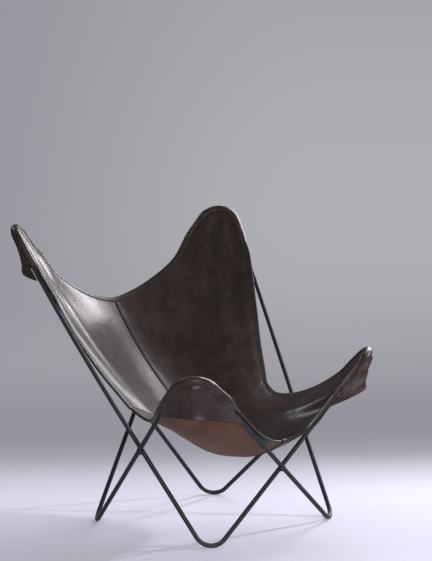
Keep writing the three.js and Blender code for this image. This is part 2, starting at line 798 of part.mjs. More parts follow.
const rims = {};
Object.entries(halves).forEach(([sideName, half]) => {
  const side = sideName === 'left' ? 1 : -1;
  rims[sideName] = {
    back: addPocket(half, highPeaks[side], true, `back_${sideName}_pocket`),
    front: addPocket(half, lowPeaks[side], false, `front_${sideName}_pocket`),
  };
  const back = edgeStations(half, true).side.slice(rims[sideName].back.side);
  const front = edgeStations(half, false).side.slice(rims[sideName].front.side, panelCells);
  addBinding(`${sideName}_edge_binding`, [...front, ...back.reverse()]);
});

[['back', true], ['front', false]].forEach(([name, isHigh]) => {
  const left = edgeStations(halves.left, isHigh).end.slice(rims.left[name].end);
  const right = edgeStations(halves.right, isHigh).end.slice(rims.right[name].end, panelCells);
  addBinding(`${name}_edge_binding`, [...left, ...right.reverse()]);
});

const stationOf = (half, i, j) => ({ point: half.grid[i][j], normal: half.normals[i][j] });
addSeamStrip('centre_seam_strip', halves.left.grid[0].map((_, j) => ({
  seam: stationOf(halves.left, 0, j),
  beside: [stationOf(halves.left, 1, j), stationOf(halves.right, 1, j)],
})));
Object.entries(halves).forEach(([sideName, half]) => {
  const rows = half.grid.map((_, i) => ({
    seam: stationOf(half, i, panelCells),
    beside: [stationOf(half, i, panelCells - 1), stationOf(half, i, panelCells + 1)],
  }));
  addSeamStrip(`${sideName}_seam_strip`, rows.slice(1));
});

// The origin is on the floor under the middle of the chair
const box = new THREE.Box3().setFromObject(chair);
const middle = box.getCenter(new THREE.Vector3());
chair.position.set(-middle.x, -middle.y, -box.min.z);

export default chair;
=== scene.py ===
"""Dresses the butterfly sling chair: two bent rod loops, their welds and the sewn leather sling."""
import math

import bpy
import numpy as np
from bpy.props import FloatProperty, FloatVectorProperty, PointerProperty
from bpy.types import Operator, Panel, PropertyGroup
from mathutils import Matrix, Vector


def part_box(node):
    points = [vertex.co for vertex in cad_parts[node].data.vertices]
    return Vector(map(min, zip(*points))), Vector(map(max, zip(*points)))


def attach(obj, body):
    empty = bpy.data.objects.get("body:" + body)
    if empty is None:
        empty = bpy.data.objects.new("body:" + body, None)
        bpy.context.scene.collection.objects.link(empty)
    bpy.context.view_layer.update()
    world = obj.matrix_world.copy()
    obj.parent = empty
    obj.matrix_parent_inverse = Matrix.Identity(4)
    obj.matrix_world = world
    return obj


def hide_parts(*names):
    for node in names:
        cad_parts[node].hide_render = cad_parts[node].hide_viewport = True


bl_info = {
    "name": "Butterfly sling chair",
    "version": (1, 0, 0),
    "blender": (4, 5, 0),
    "location": "View3D > Sidebar > Chair",
    "description": "Builds a rod frame chair with a leather sling, piece by piece",
    "category": "Object",
}

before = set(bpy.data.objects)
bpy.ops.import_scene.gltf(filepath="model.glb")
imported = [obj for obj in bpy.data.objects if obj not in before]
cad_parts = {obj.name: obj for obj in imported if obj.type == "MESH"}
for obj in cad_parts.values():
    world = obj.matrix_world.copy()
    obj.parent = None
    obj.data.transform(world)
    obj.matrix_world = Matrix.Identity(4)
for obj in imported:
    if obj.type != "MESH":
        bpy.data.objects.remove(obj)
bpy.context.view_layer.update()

# Places on the sling, as shares of the corner of the nearer peak: (x, y, z)
BACK_NOTCH_SHARES = (0, 0.946, 0.628)
BACK_EDGE_SHARES = ((0.144, 0.941, 0.642), (0.308, 0.923, 0.676), (0.493, 0.901, 0.735))
SIDE_SEAM_SHARES = (0.552, 0.088, 0.37)
SIDE_BACK_SHARES = ((0.586, 0.141, 0.405), (0.655, 0.255, 0.48), (0.739, 0.382, 0.585))
FRONT_NOTCH_SHARES = (0, -0.837, 0.498)
FRONT_EDGE_SHARES = ((0.195, -0.882, 0.532), (0.385, -0.92, 0.615), (0.56, -0.967, 0.703))
SIDE_FRONT_SHARES = ((0.672, -0.029, 0.628), (0.714, -0.172, 0.628), (0.815, -0.358, 0.673))
SEAT_CENTRE_SHARES = (0, 0.117, 0.26)
BACK_SEAM_SHARES = ((0, 0.27, 0.311), (0, 0.421, 0.371), (0, 0.59, 0.439), (0, 0.739, 0.511))
SEAT_SEAM_SHARES = ((0, -0.057, 0.413), (0, -0.258, 0.386), (0, -0.458, 0.394), (0, -0.659, 0.433))
CROSS_SEAM_SHARES = ((0.123, 0.113, 0.265), (0.267, 0.095, 0.302), (0.411, 0.077, 0.34))

# Where the bow of the long legs starts and is measured, as shares of the high peak's height
BOW_START_SHARE = 0.346
BOW_TOP_SHARE = 0.885

# The rims: how far they reach down the pockets, the length over which one opens from a bead to a roll,
# where a lip ends as a share of its width, and how many stations the bindings run in under them
RIM_SHARE = 0.88
RIM_FADE = 0.04
LIP_END_SHARE = 0.12
RIM_OVERLAP = 2

# How the leather lies over a rod: the slope on which it leaves, and how far aside it still feels the
# rod, as a multiple of its height over it. Then the least cosine at which a piece settles on leather.
RIM_DROOP = 0.6
ROD_REACH = 4
LEAST_FACING = 0.15

# The flaps: where they start below the tip, the powers of the depth by which a high and a low one
# stand off, how fast they leave the rods, and the share of the depth where the edge's normals turn
FLAP_START_SHARE = 0.04
HIGH_CURL = 1.5
LOW_CURL = 0.85
FLAP_LEAVES = 6
TURN_SHARE = 0.2

# Creases and wrinkles of a quarter, with their places as shares of the way from the tip to the middle
# of the chair. A waver is the height, rate and start of one sine wave.
CREASE_COUNT = 3
CREASE_FADE_SHARE = 0.12
CREASE_END_SHARE = 0.62
WRINKLE_COUNT = 6
WRINKLE_FADE_SHARES = (0.05, 0.2)
WRINKLE_END_SHARE = 0.34
CALM_EDGE_SHARE = 0.03
WAVERS = ((1.6, 11, 0), (0.8, 23, 2))

# Places beside a seam or an edge, as shares of the lap's width, of half the strip's width or of the
# lip's width. A negative one is behind the seam. The lap's rises are shares of its thickness, and its
# bed lies at a share of half the leather's.
LAP_SHARES = (-0.3, 0, 0.4, 0.75, 0.93, 1)
LAP_RISES = (0.1, 0.6, 1, 1, 0.8, 0.15)
LAP_BED_SHARE = 0.6
LAP_STITCH_SHARES = (0.25, 0.78)
STRIP_SHARES = (-1, -0.5, 0, 0.5, 1)
STRIP_STITCH_SHARES = (-0.6, 0.6)
HEM_STITCH_SHARE = 0.6
BINDING_STITCH_SHARE = 0.7

# A weld's bead: its length to its width, and the ripples round and along it. A bead and a stitch are
# both spindles that end a little short of their points.
WELD_STRETCH = 1.15
WELD_RIPPLE = 0.02
WELD_RIPPLES_ROUND = 5
WELD_RIPPLES_ALONG = 7
WELD_END = 0.98
STITCH_END = 0.92

# The backdrop, in metres: the rows of points on the floor, where it turns up behind the chair, the
# radius of that turn, the top of the wall, and the columns from side to side
FLOOR_ROWS = (-14, -1)
COVE_START = 1.9
COVE_RADIUS = 1.6
WALL_TOP = 6
BACKDROP_HALF_WIDTH = 16
BACKDROP_COLUMNS = 9

# Where the painted shades of the backdrop's glow change, in metres along it from under the chair, and
# beside it. Then where that painted glow takes over from the lamps' light, and the share of it that already
# lies on the floor, as painted light in the chair's shadow.
FLOOR_TO_COVE = (0, 1.25)
COVE_TO_WALL = (1.7, 3.4)
WALL_TO_UPPER = (3.4, 5.2)
DIM_ALONG = (2, 3)
DIM_BESIDE = (-1.5, 0.6)
GLOW_STARTS = (0.1, 0.9)
FLOOR_GLOW = 0.3

# How dark the backdrop's painted glow is in reflections, a painted reflection
REFLECTED_SHADE = 0.3

# How much rougher the pockets and the bindings are than the panels, and how dark the bindings are
POCKET_DULLNESS = 0.06
EDGE_DULLNESS = 0.14
EDGE_SHADE = 0.7

# The light, and the width of the camera's picture in millimetres
LAMP_COLOUR = (0.97, 0.95, 1)
SKY_COLOUR = (0.52, 0.52, 0.56)
SKY_STRENGTH = 0.28
SENSOR_WIDTH = 36

# A direction near straight up, for the sides of the lamps
NEARLY_UP = (0, 0.001, 1)

# The step in metres that tells the direction of a rod, the least divisor, the least weight, and the
# size below which a sine counts as zero
DIRECTION_STEP = 0.004
TINY = 1e-12
LEAST_WEIGHT = 1e-30
SINE_OF_ZERO = 0.01

# How much closer together the sling's points are at the tips
TIP_CROWDING = 0.55

# How many times the two feet of a loop are let down to the floor in turn
FOOT_PASSES = 3

# Fineness of the meshes
BEND_STEPS = 24
LEG_STEPS = 24
ROD_SIDES = 28
CURVE_STEPS = 48
RIM_STATIONS = 9
PANEL_CELLS = 84
FLAP_CELLS = 44
FLAP_ROWS = 40
ROLL_STEPS = 18
LIP_STEPS = 4
BEAD_SIDES = 18
WELD_SIDES = 32
THREAD_SIDES = 6
THREAD_RINGS = 5
STAGE_STEPS = 24

# The tips of the sling along its free edge, in edges of a panel from the middle of the front
TIPS = {"front_left": 1, "back_left": 3, "back_right": 5, "front_right": 7}


def length(name, description, default):
    """A size in metres that shows in the panel with its unit."""
    return FloatProperty(name=name, description=description, default=default, unit="LENGTH", precision=4)


def place(name, description, default):
    """A point in metres that shows in the panel with its unit."""
    return FloatVectorProperty(
        name=name, description=description, default=default, unit="LENGTH", precision=4
    )


def colour(name, description, default):
    """A colour that shows in the panel as a swatch."""
    return FloatVectorProperty(
        name=name, description=description, default=default, subtype="COLOR", size=3, min=0, max=1
    )


def bearing(name, description, default):
    """An angle in radians that shows in the panel in degrees."""
    return FloatProperty(name=name, description=description, default=default, subtype="ANGLE")


class FrameSizes(PropertyGroup):
    """Sizes of the bent rod frame."""

    rod_diameter: length("Rod diameter", "Thickness of the steel rod", 0.0127)
    high_peak: place("High peak", "Corner where the legs of a high peak would meet", (0.487, 0.444, 0.983))
    low_peak: place("Low peak", "Corner where the legs of a low peak would meet", (0.39, 0.349, 0.538))
    rear_foot: place("Rear foot", "Corner of a rear foot, on the floor", (0.2343, 0.248, 0))
    front_foot: place("Front foot", "Corner of a front foot, on the floor", (0.2447, 0.248, 0))
    high_bend: length("High bend", "Radius of the bend at a high peak", 0.053)
    low_bend: length("Low bend", "Radius of the bend at a low peak", 0.05)
    foot_bend: length("Foot bend", "Radius of the bend at a foot", 0.048)
    leg_bow: length("Leg bow", "How far the sling draws the tops of the long legs inward", 0.027)
    loop_spacing: length("Loop spacing", "Room between the two rods at a crossing", 0.0012)
    weld_radius: length("Weld", "Radius of the bead at a crossing", 0.0095)
    axis_shift: place(
        "Axis shift",
        "From the middle of the whole chair to the frame's axis",
        (-0.0076933, -0.0339783, -0.0005),
    )


class SlingSizes(PropertyGroup):
    """Sizes of the sewn leather sling."""

    leather: length("Leather", "Thickness of the leather", 0.003)
    lap: length("Lap", "Thickness of a folded or lapped edge above the leather", 0.0013)
    lap_width: length("Lap width", "Width of the lap of one panel over the next", 0.013)
    lip_width: length("Lip width", "How far a rim or binding reaches over the panel", 0.0075)
    strip_width: length("Strip width", "Width of the strip under a seam", 0.02)
    strip: length("Strip", "Thickness of the strip under a seam", 0.002)
    touch_gap: length("Touch gap", "Room between pieces that touch", 0.0003)
    binding: length("Binding", "Radius of the rolled edge", 0.004)
    hem: length("Hem", "Radius of the pocket's free edge", 0.0018)
    soft_gap: length("Soft gap", "Room between the rod and the leather over it", 0.0018)
    rim_start: length("Rim start", "Distance from the tip where the edge starts to spread", 0.025)
    high_end_spread: length("High end spread", "How far the open edge spreads beside a high peak", 0.026)
    high_end_puff: length("High end puff", "How far the open edge puffs up beside a high peak", 0.018)
    high_side_spread: length("High side spread", "How far the side edge spreads beside a high peak", 0.004)
    low_end_spread: length("Low end spread", "How far the open edge spreads beside a low peak", 0.02)
    low_side_spread: length("Low side spread", "How far the side edge spreads beside a low peak", 0.013)
    short_spread_reach: length("Spread reach", "Distance from the tip over which most edges spread", 0.13)
    long_spread_reach: length("Long spread reach", "The same for the side edge at a high peak", 0.19)
    high_flap: length("High flap", "Depth of a high pocket down both legs", 0.19)
    high_stand_off: length("High stand off", "How far a high pocket's free edge stands off", 0.043)
    high_rise: length("High rise", "How far a high pocket's free edge is drawn up", 0.03)
    low_end_flap: length("Low end flap", "Depth of a low pocket down the front leg", 0.23)
    low_side_flap: length("Low side flap", "Depth of a low pocket down the side leg", 0.185)
    low_stand_off: length("Low stand off", "How far a low pocket's free edge stands off", 0.055)
    low_rise: length("Low rise", "How far a low pocket's free edge is drawn up", 0.08)
    crease: length("Crease", "Height of the soft creases below the peaks", 0.0014)
    wrinkle: length("Wrinkle", "Height of the fine wrinkles close to the peaks", 0.0002)
    softness: length("Softness", "Rounding where the leather rises over a rod", 0.003)
    stitch_pitch: length("Stitch pitch", "Distance from one stitch to the next", 0.0068)
    stitch_length: length("Stitch length", "Length of a stitch that shows", 0.005)
    thread: length("Thread", "Thickness of the sewing thread", 0.0012)


class Finishes(PropertyGroup):
    """Colours of the chair."""

    steel: colour("Steel", "Satin black paint on the rods", (0.012, 0.014, 0.018))
    bare_steel: colour("Bare steel", "Metal that shows where the paint is rubbed", (0.16, 0.15, 0.14))
    leather: colour("Leather", "Grain side of the sling", (0.0215, 0.0125, 0.0096))
    burnished: colour("Burnished", "Lighter places where the grain side is worn", (0.047, 0.030, 0.025))
    pocket: colour("Pockets", "Warmer grain side of the rims and flaps", (0.024, 0.0115, 0.0075))
    rubbed: colour("Rubbed", "Lighter places where the pockets are worn", (0.056, 0.029, 0.020))
    flesh: colour("Flesh side", "Underside of the sling", (0.146, 0.073, 0.038))
    thread: colour("Thread", "Waxed thread of the seams", (0.135, 0.088, 0.060))


class StageSettings(PropertyGroup):
    """Camera, floor and backdrop."""

    camera: place("Camera", "Where the camera stands", (-3.3117, -3.553, 1.1945))
    turn: bearing("Turn", "Direction of the camera", -0.759354)
    tilt: bearing("Tilt", "How far the camera looks down", 0.102097)
    roll: bearing("Roll", "Lean of the camera", -0.020702)
    lens: FloatProperty(name="Lens", description="Focal length in millimetres", default=108.183)
    floor: colour("Floor", "Pale floor", (0.685, 0.685, 0.78))
    # The cove, backdrop and upper colours are the backdrop's painted glow, seen by the camera and in
    # reflections. The darker cove and upper greys are painted shade, and the cove's grey also paints shade
    # on the left side and in the reflections.
    cove_shade: colour("Cove", "Where the floor turns up into the backdrop", (0.305, 0.295, 0.333))
    backdrop: colour("Backdrop", "Grey backdrop", (0.435, 0.43, 0.465))
    upper: colour("Upper backdrop", "Where the backdrop darkens again", (0.36, 0.355, 0.385))


# Arithmetic of points, as whole arrays


def unit(vectors):
    """Vectors divided by their lengths."""
    return vectors / np.maximum(np.linalg.norm(vectors, axis=-1, keepdims=True), TINY)


def dot(first, second):
    """Products of vectors, one number for each pair."""
    return np.sum(first * second, axis=-1)


def smooth(share):
    """3t2 - 2t3: from 0 to 1 with level ends."""
    t = np.clip(share, 0, 1)
    return t * t * (3 - 2 * t)


def travelled(points):
    """Distance along a row of points from the first to each of them."""
    steps = np.linalg.norm(np.diff(points, axis=0), axis=1)
    return np.concatenate([[0], np.cumsum(steps)])


def between(distances, along, values):
    """Rows of values at the given distances, on the straight lines between the known ones."""
    return np.stack([np.interp(distances, along, values[:, axis]) for axis in range(3)], axis=-1)


def walk(points, distances):
    """Points at the given distances along a row of points."""
    return between(distances, travelled(points), points)


def round_angles(count):
    """Equal angles round a full circle."""
    return np.linspace(0, 2 * math.pi, count, endpoint=False)


def half_ring(centre, radius, out, up):
    """Rows of points from the top to the bottom of half a ring: centre + radius (cos a out + sin a up)."""
    angles = np.linspace(math.pi / 2, -math.pi / 2, ROLL_STEPS + 1)
    return [centre + radius * (math.cos(a) * out + math.sin(a) * up) for a in angles]


def curve_through(points, mirrors_at=None):
    """A smooth curve through points: on each span a cubic whose end slopes come from the neighbouring
    points, weighted by the square roots of the chords, so that it never loops. It runs on into its
    mirror image where it starts on the given middle plane."""
    points = np.array(points, float)
    first = 2 * points[0] - points[1]
    if mirrors_at is not None:
        first = points[1] * np.array([-1, 1, 1]) + np.array([2 * mirrors_at, 0, 0])
    last = 2 * points[-1] - points[-2]
    padded = np.vstack([first, points, last])
    p0, p1, p2, p3 = padded[:-3], padded[1:-2], padded[2:-1], padded[3:]
    chords = np.sqrt(np.linalg.norm(np.diff(padded, axis=0), axis=1))[:, None]
    before, chord, after = chords[:-2], chords[1:-1], chords[2:]
    slope1 = ((p1 - p0) / before - (p2 - p0) / (before + chord) + (p2 - p1) / chord) * chord
    slope2 = ((p2 - p1) / chord - (p3 - p1) / (chord + after) + (p3 - p2) / after) * chord
    t = np.linspace(0, 1, CURVE_STEPS, endpoint=False)[None, :, None]
    c2 = 3 * (p2 - p1) - 2 * slope1 - slope2
    c3 = 2 * (p1 - p2) + slope1 + slope2
    spans = p1[:, None] + slope1[:, None] * t + c2[:, None] * t**2 + c3[:, None] * t**3
    return np.vstack([spans.reshape(-1, 3), points[-1:]])


def at_shares(curve, shares):
    """Points of a curve at shares of its length."""
    return walk(curve, np.asarray(shares) * travelled(curve)[-1])


def triangles(grid):
    """Both triangles of each cell of a grid, as vectors square to them and twice their area long."""
    a, b, c, d = grid[:-1, :-1], grid[1:, :-1], grid[1:, 1:], grid[:-1, 1:]
    return np.cross(b - a, c - a), np.cross(c - a, d - a)


def area_of(grid):
    """Area of a grid's triangles."""
    return float(sum(np.linalg.norm(vectors, axis=-1).sum() for vectors in triangles(grid)) / 2)


def grid_normals(grid):
    """Normal of each point of a grid: the sum of the vectors of the triangles that meet there."""
    first, second = triangles(grid)
    normals = np.zeros_like(grid)
    normals[:-1, :-1] += first + second
    normals[1:, :-1] += first
    normals[1:, 1:] += first + second
    normals[:-1, 1:] += second
    return unit(normals)


def settled(points, direction, surface, normals, width):
    """Moves points along a direction onto a surface. Each nearby point of the surface tells the height
    of its tangent plane, and these are averaged with bell-curve weights of the given width."""
    flat_surface = surface.reshape(-1, 3)
    flat_normals = normals.reshape(-1, 3)
    facing = dot(flat_normals, direction)
    keep = facing > LEAST_FACING
    flat_surface, flat_normals, facing = flat_surface[keep], flat_normals[keep], facing[keep]
    away = points[:, None, :] - flat_surface[None]
    height = dot(away, direction)
    beside = dot(away, away) - height**2
    weights = np.exp(-beside / (2 * width**2)) + LEAST_WEIGHT
    rise = -dot(away, flat_normals[None]) / facing
    return points + (np.sum(weights * rise, axis=1) / np.sum(weights, axis=1))[:, None] * direction


# The rod loops


def bend(apex, before, after, radius):
    """An arc of the radius that touches both legs of a corner, as points at equal angles."""
    u = unit(before - apex)
    v = unit(after - apex)
    half = math.acos(float(np.clip(u @ v, -1, 1))) / 2
    centre = apex + unit(u + v) * radius / math.sin(half)
    start = apex + u * radius / math.tan(half) - centre
    end = apex + v * radius / math.tan(half) - centre
    turn = math.pi - 2 * half
    across = (end - start * math.cos(turn)) / math.sin(turn)
    angle = np.linspace(0, turn, BEND_STEPS + 1)[:, None]
    return centre + start * np.cos(angle) + across * np.sin(angle)


def bowed(points, peak, sizes):
    """Draws the long legs inward by the square of the rise above where the bow starts."""
    outward = unit(np.array([peak[0], peak[1], 0]))
    start = sizes.high_peak[2] * BOW_START_SHARE
    top = sizes.high_peak[2] * BOW_TOP_SHARE
    rise = np.maximum(points[:, 2] - start, 0) / (top - start)
    on_peak_side = points[:, :2] @ peak[:2] > 0
    return points - outward * (sizes.leg_bow * rise**2 * on_peak_side)[:, None]


def loop_path(sizes, side, offset):
    """Centreline of the loop whose high peak is on the given side: bends at the high peak, the front
    foot, the low peak and the rear foot, joined by straight legs. The feet rest on the floor."""

    def corner(where, across, along):
        """A corner of the loop's straight legs, on the sides that the two signs give."""
        return np.array([across * side * (where[0] + offset), along * (where[1] + offset), where[2]])

    high = corner(sizes.high_peak, 1, 1)
    front = corner(sizes.front_foot, 1, -1)
    low = corner(sizes.low_peak, -1, -1)
    rear = corner(sizes.rear_foot, -1, 1)
    for foot, before, after in ((front, high, low), (rear, low, high)) * FOOT_PASSES:
        foot[2] += sizes.rod_diameter / 2 - bend(foot, before, after, sizes.foot_bend)[:, 2].min()
    bends = [
        bend(high, rear, front, sizes.high_bend),
        bend(front, high, low, sizes.foot_bend),
        bend(low, front, rear, sizes.low_bend),
        bend(rear, low, high, sizes.foot_bend),
    ]
    steps = np.linspace(0, 1, LEG_STEPS + 1)[1:-1, None]
    rows = []
    for arc, following in zip(bends, bends[1:] + bends[:1]):
        rows += [arc, arc[-1] + (following[0] - arc[-1]) * steps]
    return bowed(np.vstack(rows), high, sizes) + np.array(sizes.axis_shift)


def both_paths(sizes):
    """The outer loop, with its high peak on the sitter's left, and the inner loop."""
    offset = (sizes.rod_diameter + sizes.loop_spacing) / 2
    return loop_path(sizes, 1, offset), loop_path(sizes, -1, -offset)


def crossings(first, second):
    """Directions of the two rods at the four places where they pass closest: of the pairs of points
    that are nearest to each other, the nearest pair in each quarter turn round the chair's axis."""
    apart = np.linalg.norm(first[:, None] - second[None], axis=-1)
    partner = apart.argmin(axis=1)
    middle = (first + second[partner]) / 2
    nearness = apart.min(axis=1)
    turn = np.arctan2(middle[:, 1], middle[:, 0])
    quarter = np.round(turn / (math.pi / 2)).astype(int) % 4
    found = []
    for quarter_turns in range(4):
        members = np.flatnonzero(quarter == quarter_turns)
        best = members[nearness[members].argmin()]
        pair = ((first, best), (second, partner[best]))
        found.append([unit(path[(number + 1) % len(path)] - path[number - 1]) for path, number in pair])
    return found


# The sling's surface


class Peak:
    """A peak of one loop, with rows of points down its side leg and its end leg. The end leg goes to
    the open edge at the front or back of the sling."""

    def __init__(self, sling, path, is_high):
        tip = (0 if is_high else 2 * (BEND_STEPS + LEG_STEPS)) + BEND_STEPS // 2
        count = BEND_STEPS + LEG_STEPS + 1
        order = np.arange(count)
        self.rows = {"side": path[(tip + order) % len(path)], "end": path[(tip - order) % len(path)]}
        if is_high:
            self.spread = {"end": sling.high_end_spread, "side": sling.high_side_spread}
            self.reach = {"end": sling.short_spread_reach, "side": sling.long_spread_reach}
            self.puff = {"end": sling.high_end_puff, "side": 0}
            self.depth = {"end": sling.high_flap, "side": sling.high_flap}
            self.stand_off, self.rise, self.curl = sling.high_stand_off, sling.high_rise, HIGH_CURL
        else:
            self.spread = {"end": sling.low_end_spread, "side": sling.low_side_spread}
            self.reach = {"end": sling.short_spread_reach, "side": sling.short_spread_reach}
            self.puff = {"end": 0, "side": 0}
            self.depth = {"end": sling.low_end_flap, "side": sling.low_side_flap}
            self.stand_off, self.rise, self.curl = sling.low_stand_off, sling.low_rise, LOW_CURL
        self.tip = path[tip]
        side = walk(self.rows["side"], [self.depth["side"]])[0] - self.tip
        end = walk(self.rows["end"], [self.depth["side"]])[0] - self.tip
        normal = unit(np.cross(side, end))
        self.normal = normal if normal[2] > 0 else -normal
        self.inside = self.tip + (side + end) / 2

    def rim_points(self, leg, distances, lift):
        """The panel's edge: over the rod at the tip, and spreading out beside it further down. It puffs
        up by the square of the distance as well."""
        points = walk(self.rows[leg], distances)
        along = walk(self.rows[leg], distances + DIRECTION_STEP) - points
        out = unit(np.cross(along, self.normal))
        out *= np.where(dot(out, self.inside - points) > 0, -1, 1)[:, None]
        share = (distances - lift.rim_start) / (self.reach[leg] - lift.rim_start)
        spread = self.spread[leg] * smooth(share)
        puff = self.puff[leg] * (distances / self.reach[leg]) ** 2
        return points + out * spread[:, None] + self.normal * (lift.over(spread) + puff)[:, None]


class Lift:
    """How the leather lies over a rod: round over it, then leaving it on a straight slope."""

    def __init__(self, sizes, sling):
        self.seat = sizes.rod_diameter / 2 + sling.soft_gap + sling.leather / 2
        self.reach = ROD_REACH * self.seat
        self.rim_start = sling.rim_start
        self.softness = sling.softness

    def over(self, aside):
        """Height over the rod's centre: a circle's arc, and past its foot a line of the droop slope."""
        leaves = self.seat * math.sin(math.atan(RIM_DROOP))
        arc = np.sqrt(self.seat**2 - np.minimum(aside, leaves) ** 2)
        return arc - RIM_DROOP * np.maximum(aside - leaves, 0)

    def near(self, points, direction, path):
        """For each straight stretch of a loop: the height of the points over it along a direction, how
        far they are beside it, and which of them are close."""
        for start, end in zip(path, np.roll(path, -1, axis=0)):
            share = np.clip(dot(points - start, end - start) / dot(end - start, end - start), 0, 1)
            away = points - start - share[..., None] * (end - start)
            height = dot(away, direction)
            aside = np.sqrt(np.maximum(dot(away, away) - height**2, 0))
            close = (aside < self.reach) & (np.abs(height) < self.reach)
            if close.any():
                yield height, aside, close

    def raised(self, points, direction, paths):
        """Raises points to the height over each rod by a rounded maximum: half the sum of the two
        heights and of the root of their squared difference plus the squared softness."""
        result = points
        for path in paths:
            rise = np.zeros(points.shape[:-1])
            for height, aside, close in self.near(result, direction, path):
                short = self.over(aside) - height
                needed = (short + np.sqrt(short**2 + self.softness**2)) / 2
                fade = smooth((self.reach - aside) / self.seat)
                rise = np.where(close, np.maximum(rise, needed * fade), rise)
            result = result + rise[..., None] * direction
        return result

    def roll_radius(self, points, direction, paths, least):
        """Half of the pocket's depth at points of the edge: half of their height over the rod plus that
        of the leather on its other side, and never less than the rolled edge."""
        radius = np.full(points.shape[:-1], least)
        for path in paths:
            for height, aside, close in self.near(points, direction, path):
                radius = np.where(close, np.maximum(radius, (height + self.over(aside)) / 2), radius)
        return radius


def stations():
    """Shares from the middle of the chair to a tip, closer together at the tip: t + c t (1 - t)."""
    t = np.linspace(0, 1, PANEL_CELLS + 1)
    return t + TIP_CROWDING * t * (1 - t)


def creases(sling):
    """Height of the creases on a quarter: sine waves across the fan of lines from the tip, fading in
    below the tip and out further down, with finer, wavering wrinkles close to the tip."""
    from_tip = 1 - stations()
    from_side = from_tip[:, None]
    from_open = from_tip[None, :]
    reach = (from_side + from_open) / 2
    fan = from_side / np.maximum(from_side + from_open, TINY)
    fade = smooth(reach / CREASE_FADE_SHARE) * smooth((CREASE_END_SHARE - reach) / CREASE_FADE_SHARE)
    broad = sling.crease * fade * np.sin(2 * math.pi * CREASE_COUNT * fan)
    beside = np.minimum(from_side, from_open)
    starts, ends = WRINKLE_FADE_SHARES
    near = smooth(reach / starts) * smooth(beside / starts) * smooth((WRINKLE_END_SHARE - reach) / ends)
    waver = sum(height * np.sin(rate * reach + start) for height, rate, start in WAVERS)
    fine = sling.wrinkle * near * np.sin(2 * math.pi * (WRINKLE_COUNT * fan + waver))
    return (broad + fine) * smooth(beside / CALM_EDGE_SHARE)


def quarter_grid(borders, peak, paths, lift, sling):
    """A quarter of the sling between its four border curves: the cross seam, the middle, the open edge
    and the side. Each pair of facing borders is blended by 3t2 - 2t3, and the blend of the four corners
    is taken away once."""
    steps = stations()
    seam, middle, open_edge, side = (at_shares(border, steps) for border in borders)
    wa = smooth(steps)[:, None, None]
    wb = smooth(steps)[None, :, None]
    grid = seam[:, None] * (1 - wb) + open_edge[:, None] * wb + middle[None] * (1 - wa) + side[None] * wa
    grid = grid - seam[0] * (1 - wa) * (1 - wb) - seam[-1] * wa * (1 - wb)
    grid = grid - open_edge[0] * (1 - wa) * wb - open_edge[-1] * wa * wb
    return lift.raised(grid + creases(sling)[..., None] * peak.normal, peak.normal, paths)


def half_grid(sizes, sling, side, paths, lift):
    """Half of the sling: columns from the middle seam to the side, rows from front to back."""
    high_path, low_path = paths if side > 0 else paths[::-1]
    high = Peak(sling, high_path, True)
    low = Peak(sling, low_path, False)
    shift = np.array(sizes.axis_shift)

    def places(shares, corner):
        """Points at shares of a peak's corner, on this half's side of the chair."""
        return np.atleast_2d(shares) * np.array(corner) * np.array([side, 1, 1]) + shift

    def rim(peak, leg):
        """Points of the edge from the end of its spread to the tip."""
        distances = np.linspace(peak.reach[leg], 0, RIM_STATIONS)
        return peak.rim_points(leg, distances, lift)

    def curve(*rows, mirrors_at=None):
        """A smooth curve through several rows of points, one after the other."""
        return curve_through(np.vstack(rows), mirrors_at)

    centre = places(SEAT_CENTRE_SHARES, sizes.high_peak)
    seam = places(SIDE_SEAM_SHARES, sizes.high_peak)
    cross = curve(centre, places(CROSS_SEAM_SHARES, sizes.high_peak), seam, mirrors_at=shift[0])

    def quarter(peak, corner, notch_shares, middle_shares, open_shares, side_shares):
        """The grid of the quarter below one peak."""
        notch = places(notch_shares, corner)
        middle = curve(centre, places(middle_shares, corner), notch)
        open_edge = curve(notch, places(open_shares, corner), rim(peak, "end"), mirrors_at=shift[0])
        side_edge = curve(seam, places(side_shares, corner), rim(peak, "side"))
        return quarter_grid((cross, middle, open_edge, side_edge), peak, paths, lift, sling)

    back_shares = (BACK_NOTCH_SHARES, BACK_SEAM_SHARES, BACK_EDGE_SHARES, SIDE_BACK_SHARES)
    front_shares = (FRONT_NOTCH_SHARES, SEAT_SEAM_SHARES, FRONT_EDGE_SHARES, SIDE_FRONT_SHARES)
    rear = quarter(high, sizes.high_peak, *back_shares)
    ahead = quarter(low, sizes.low_peak, *front_shares)
    return np.concatenate([ahead[:, :0:-1], rear], axis=1), high, low


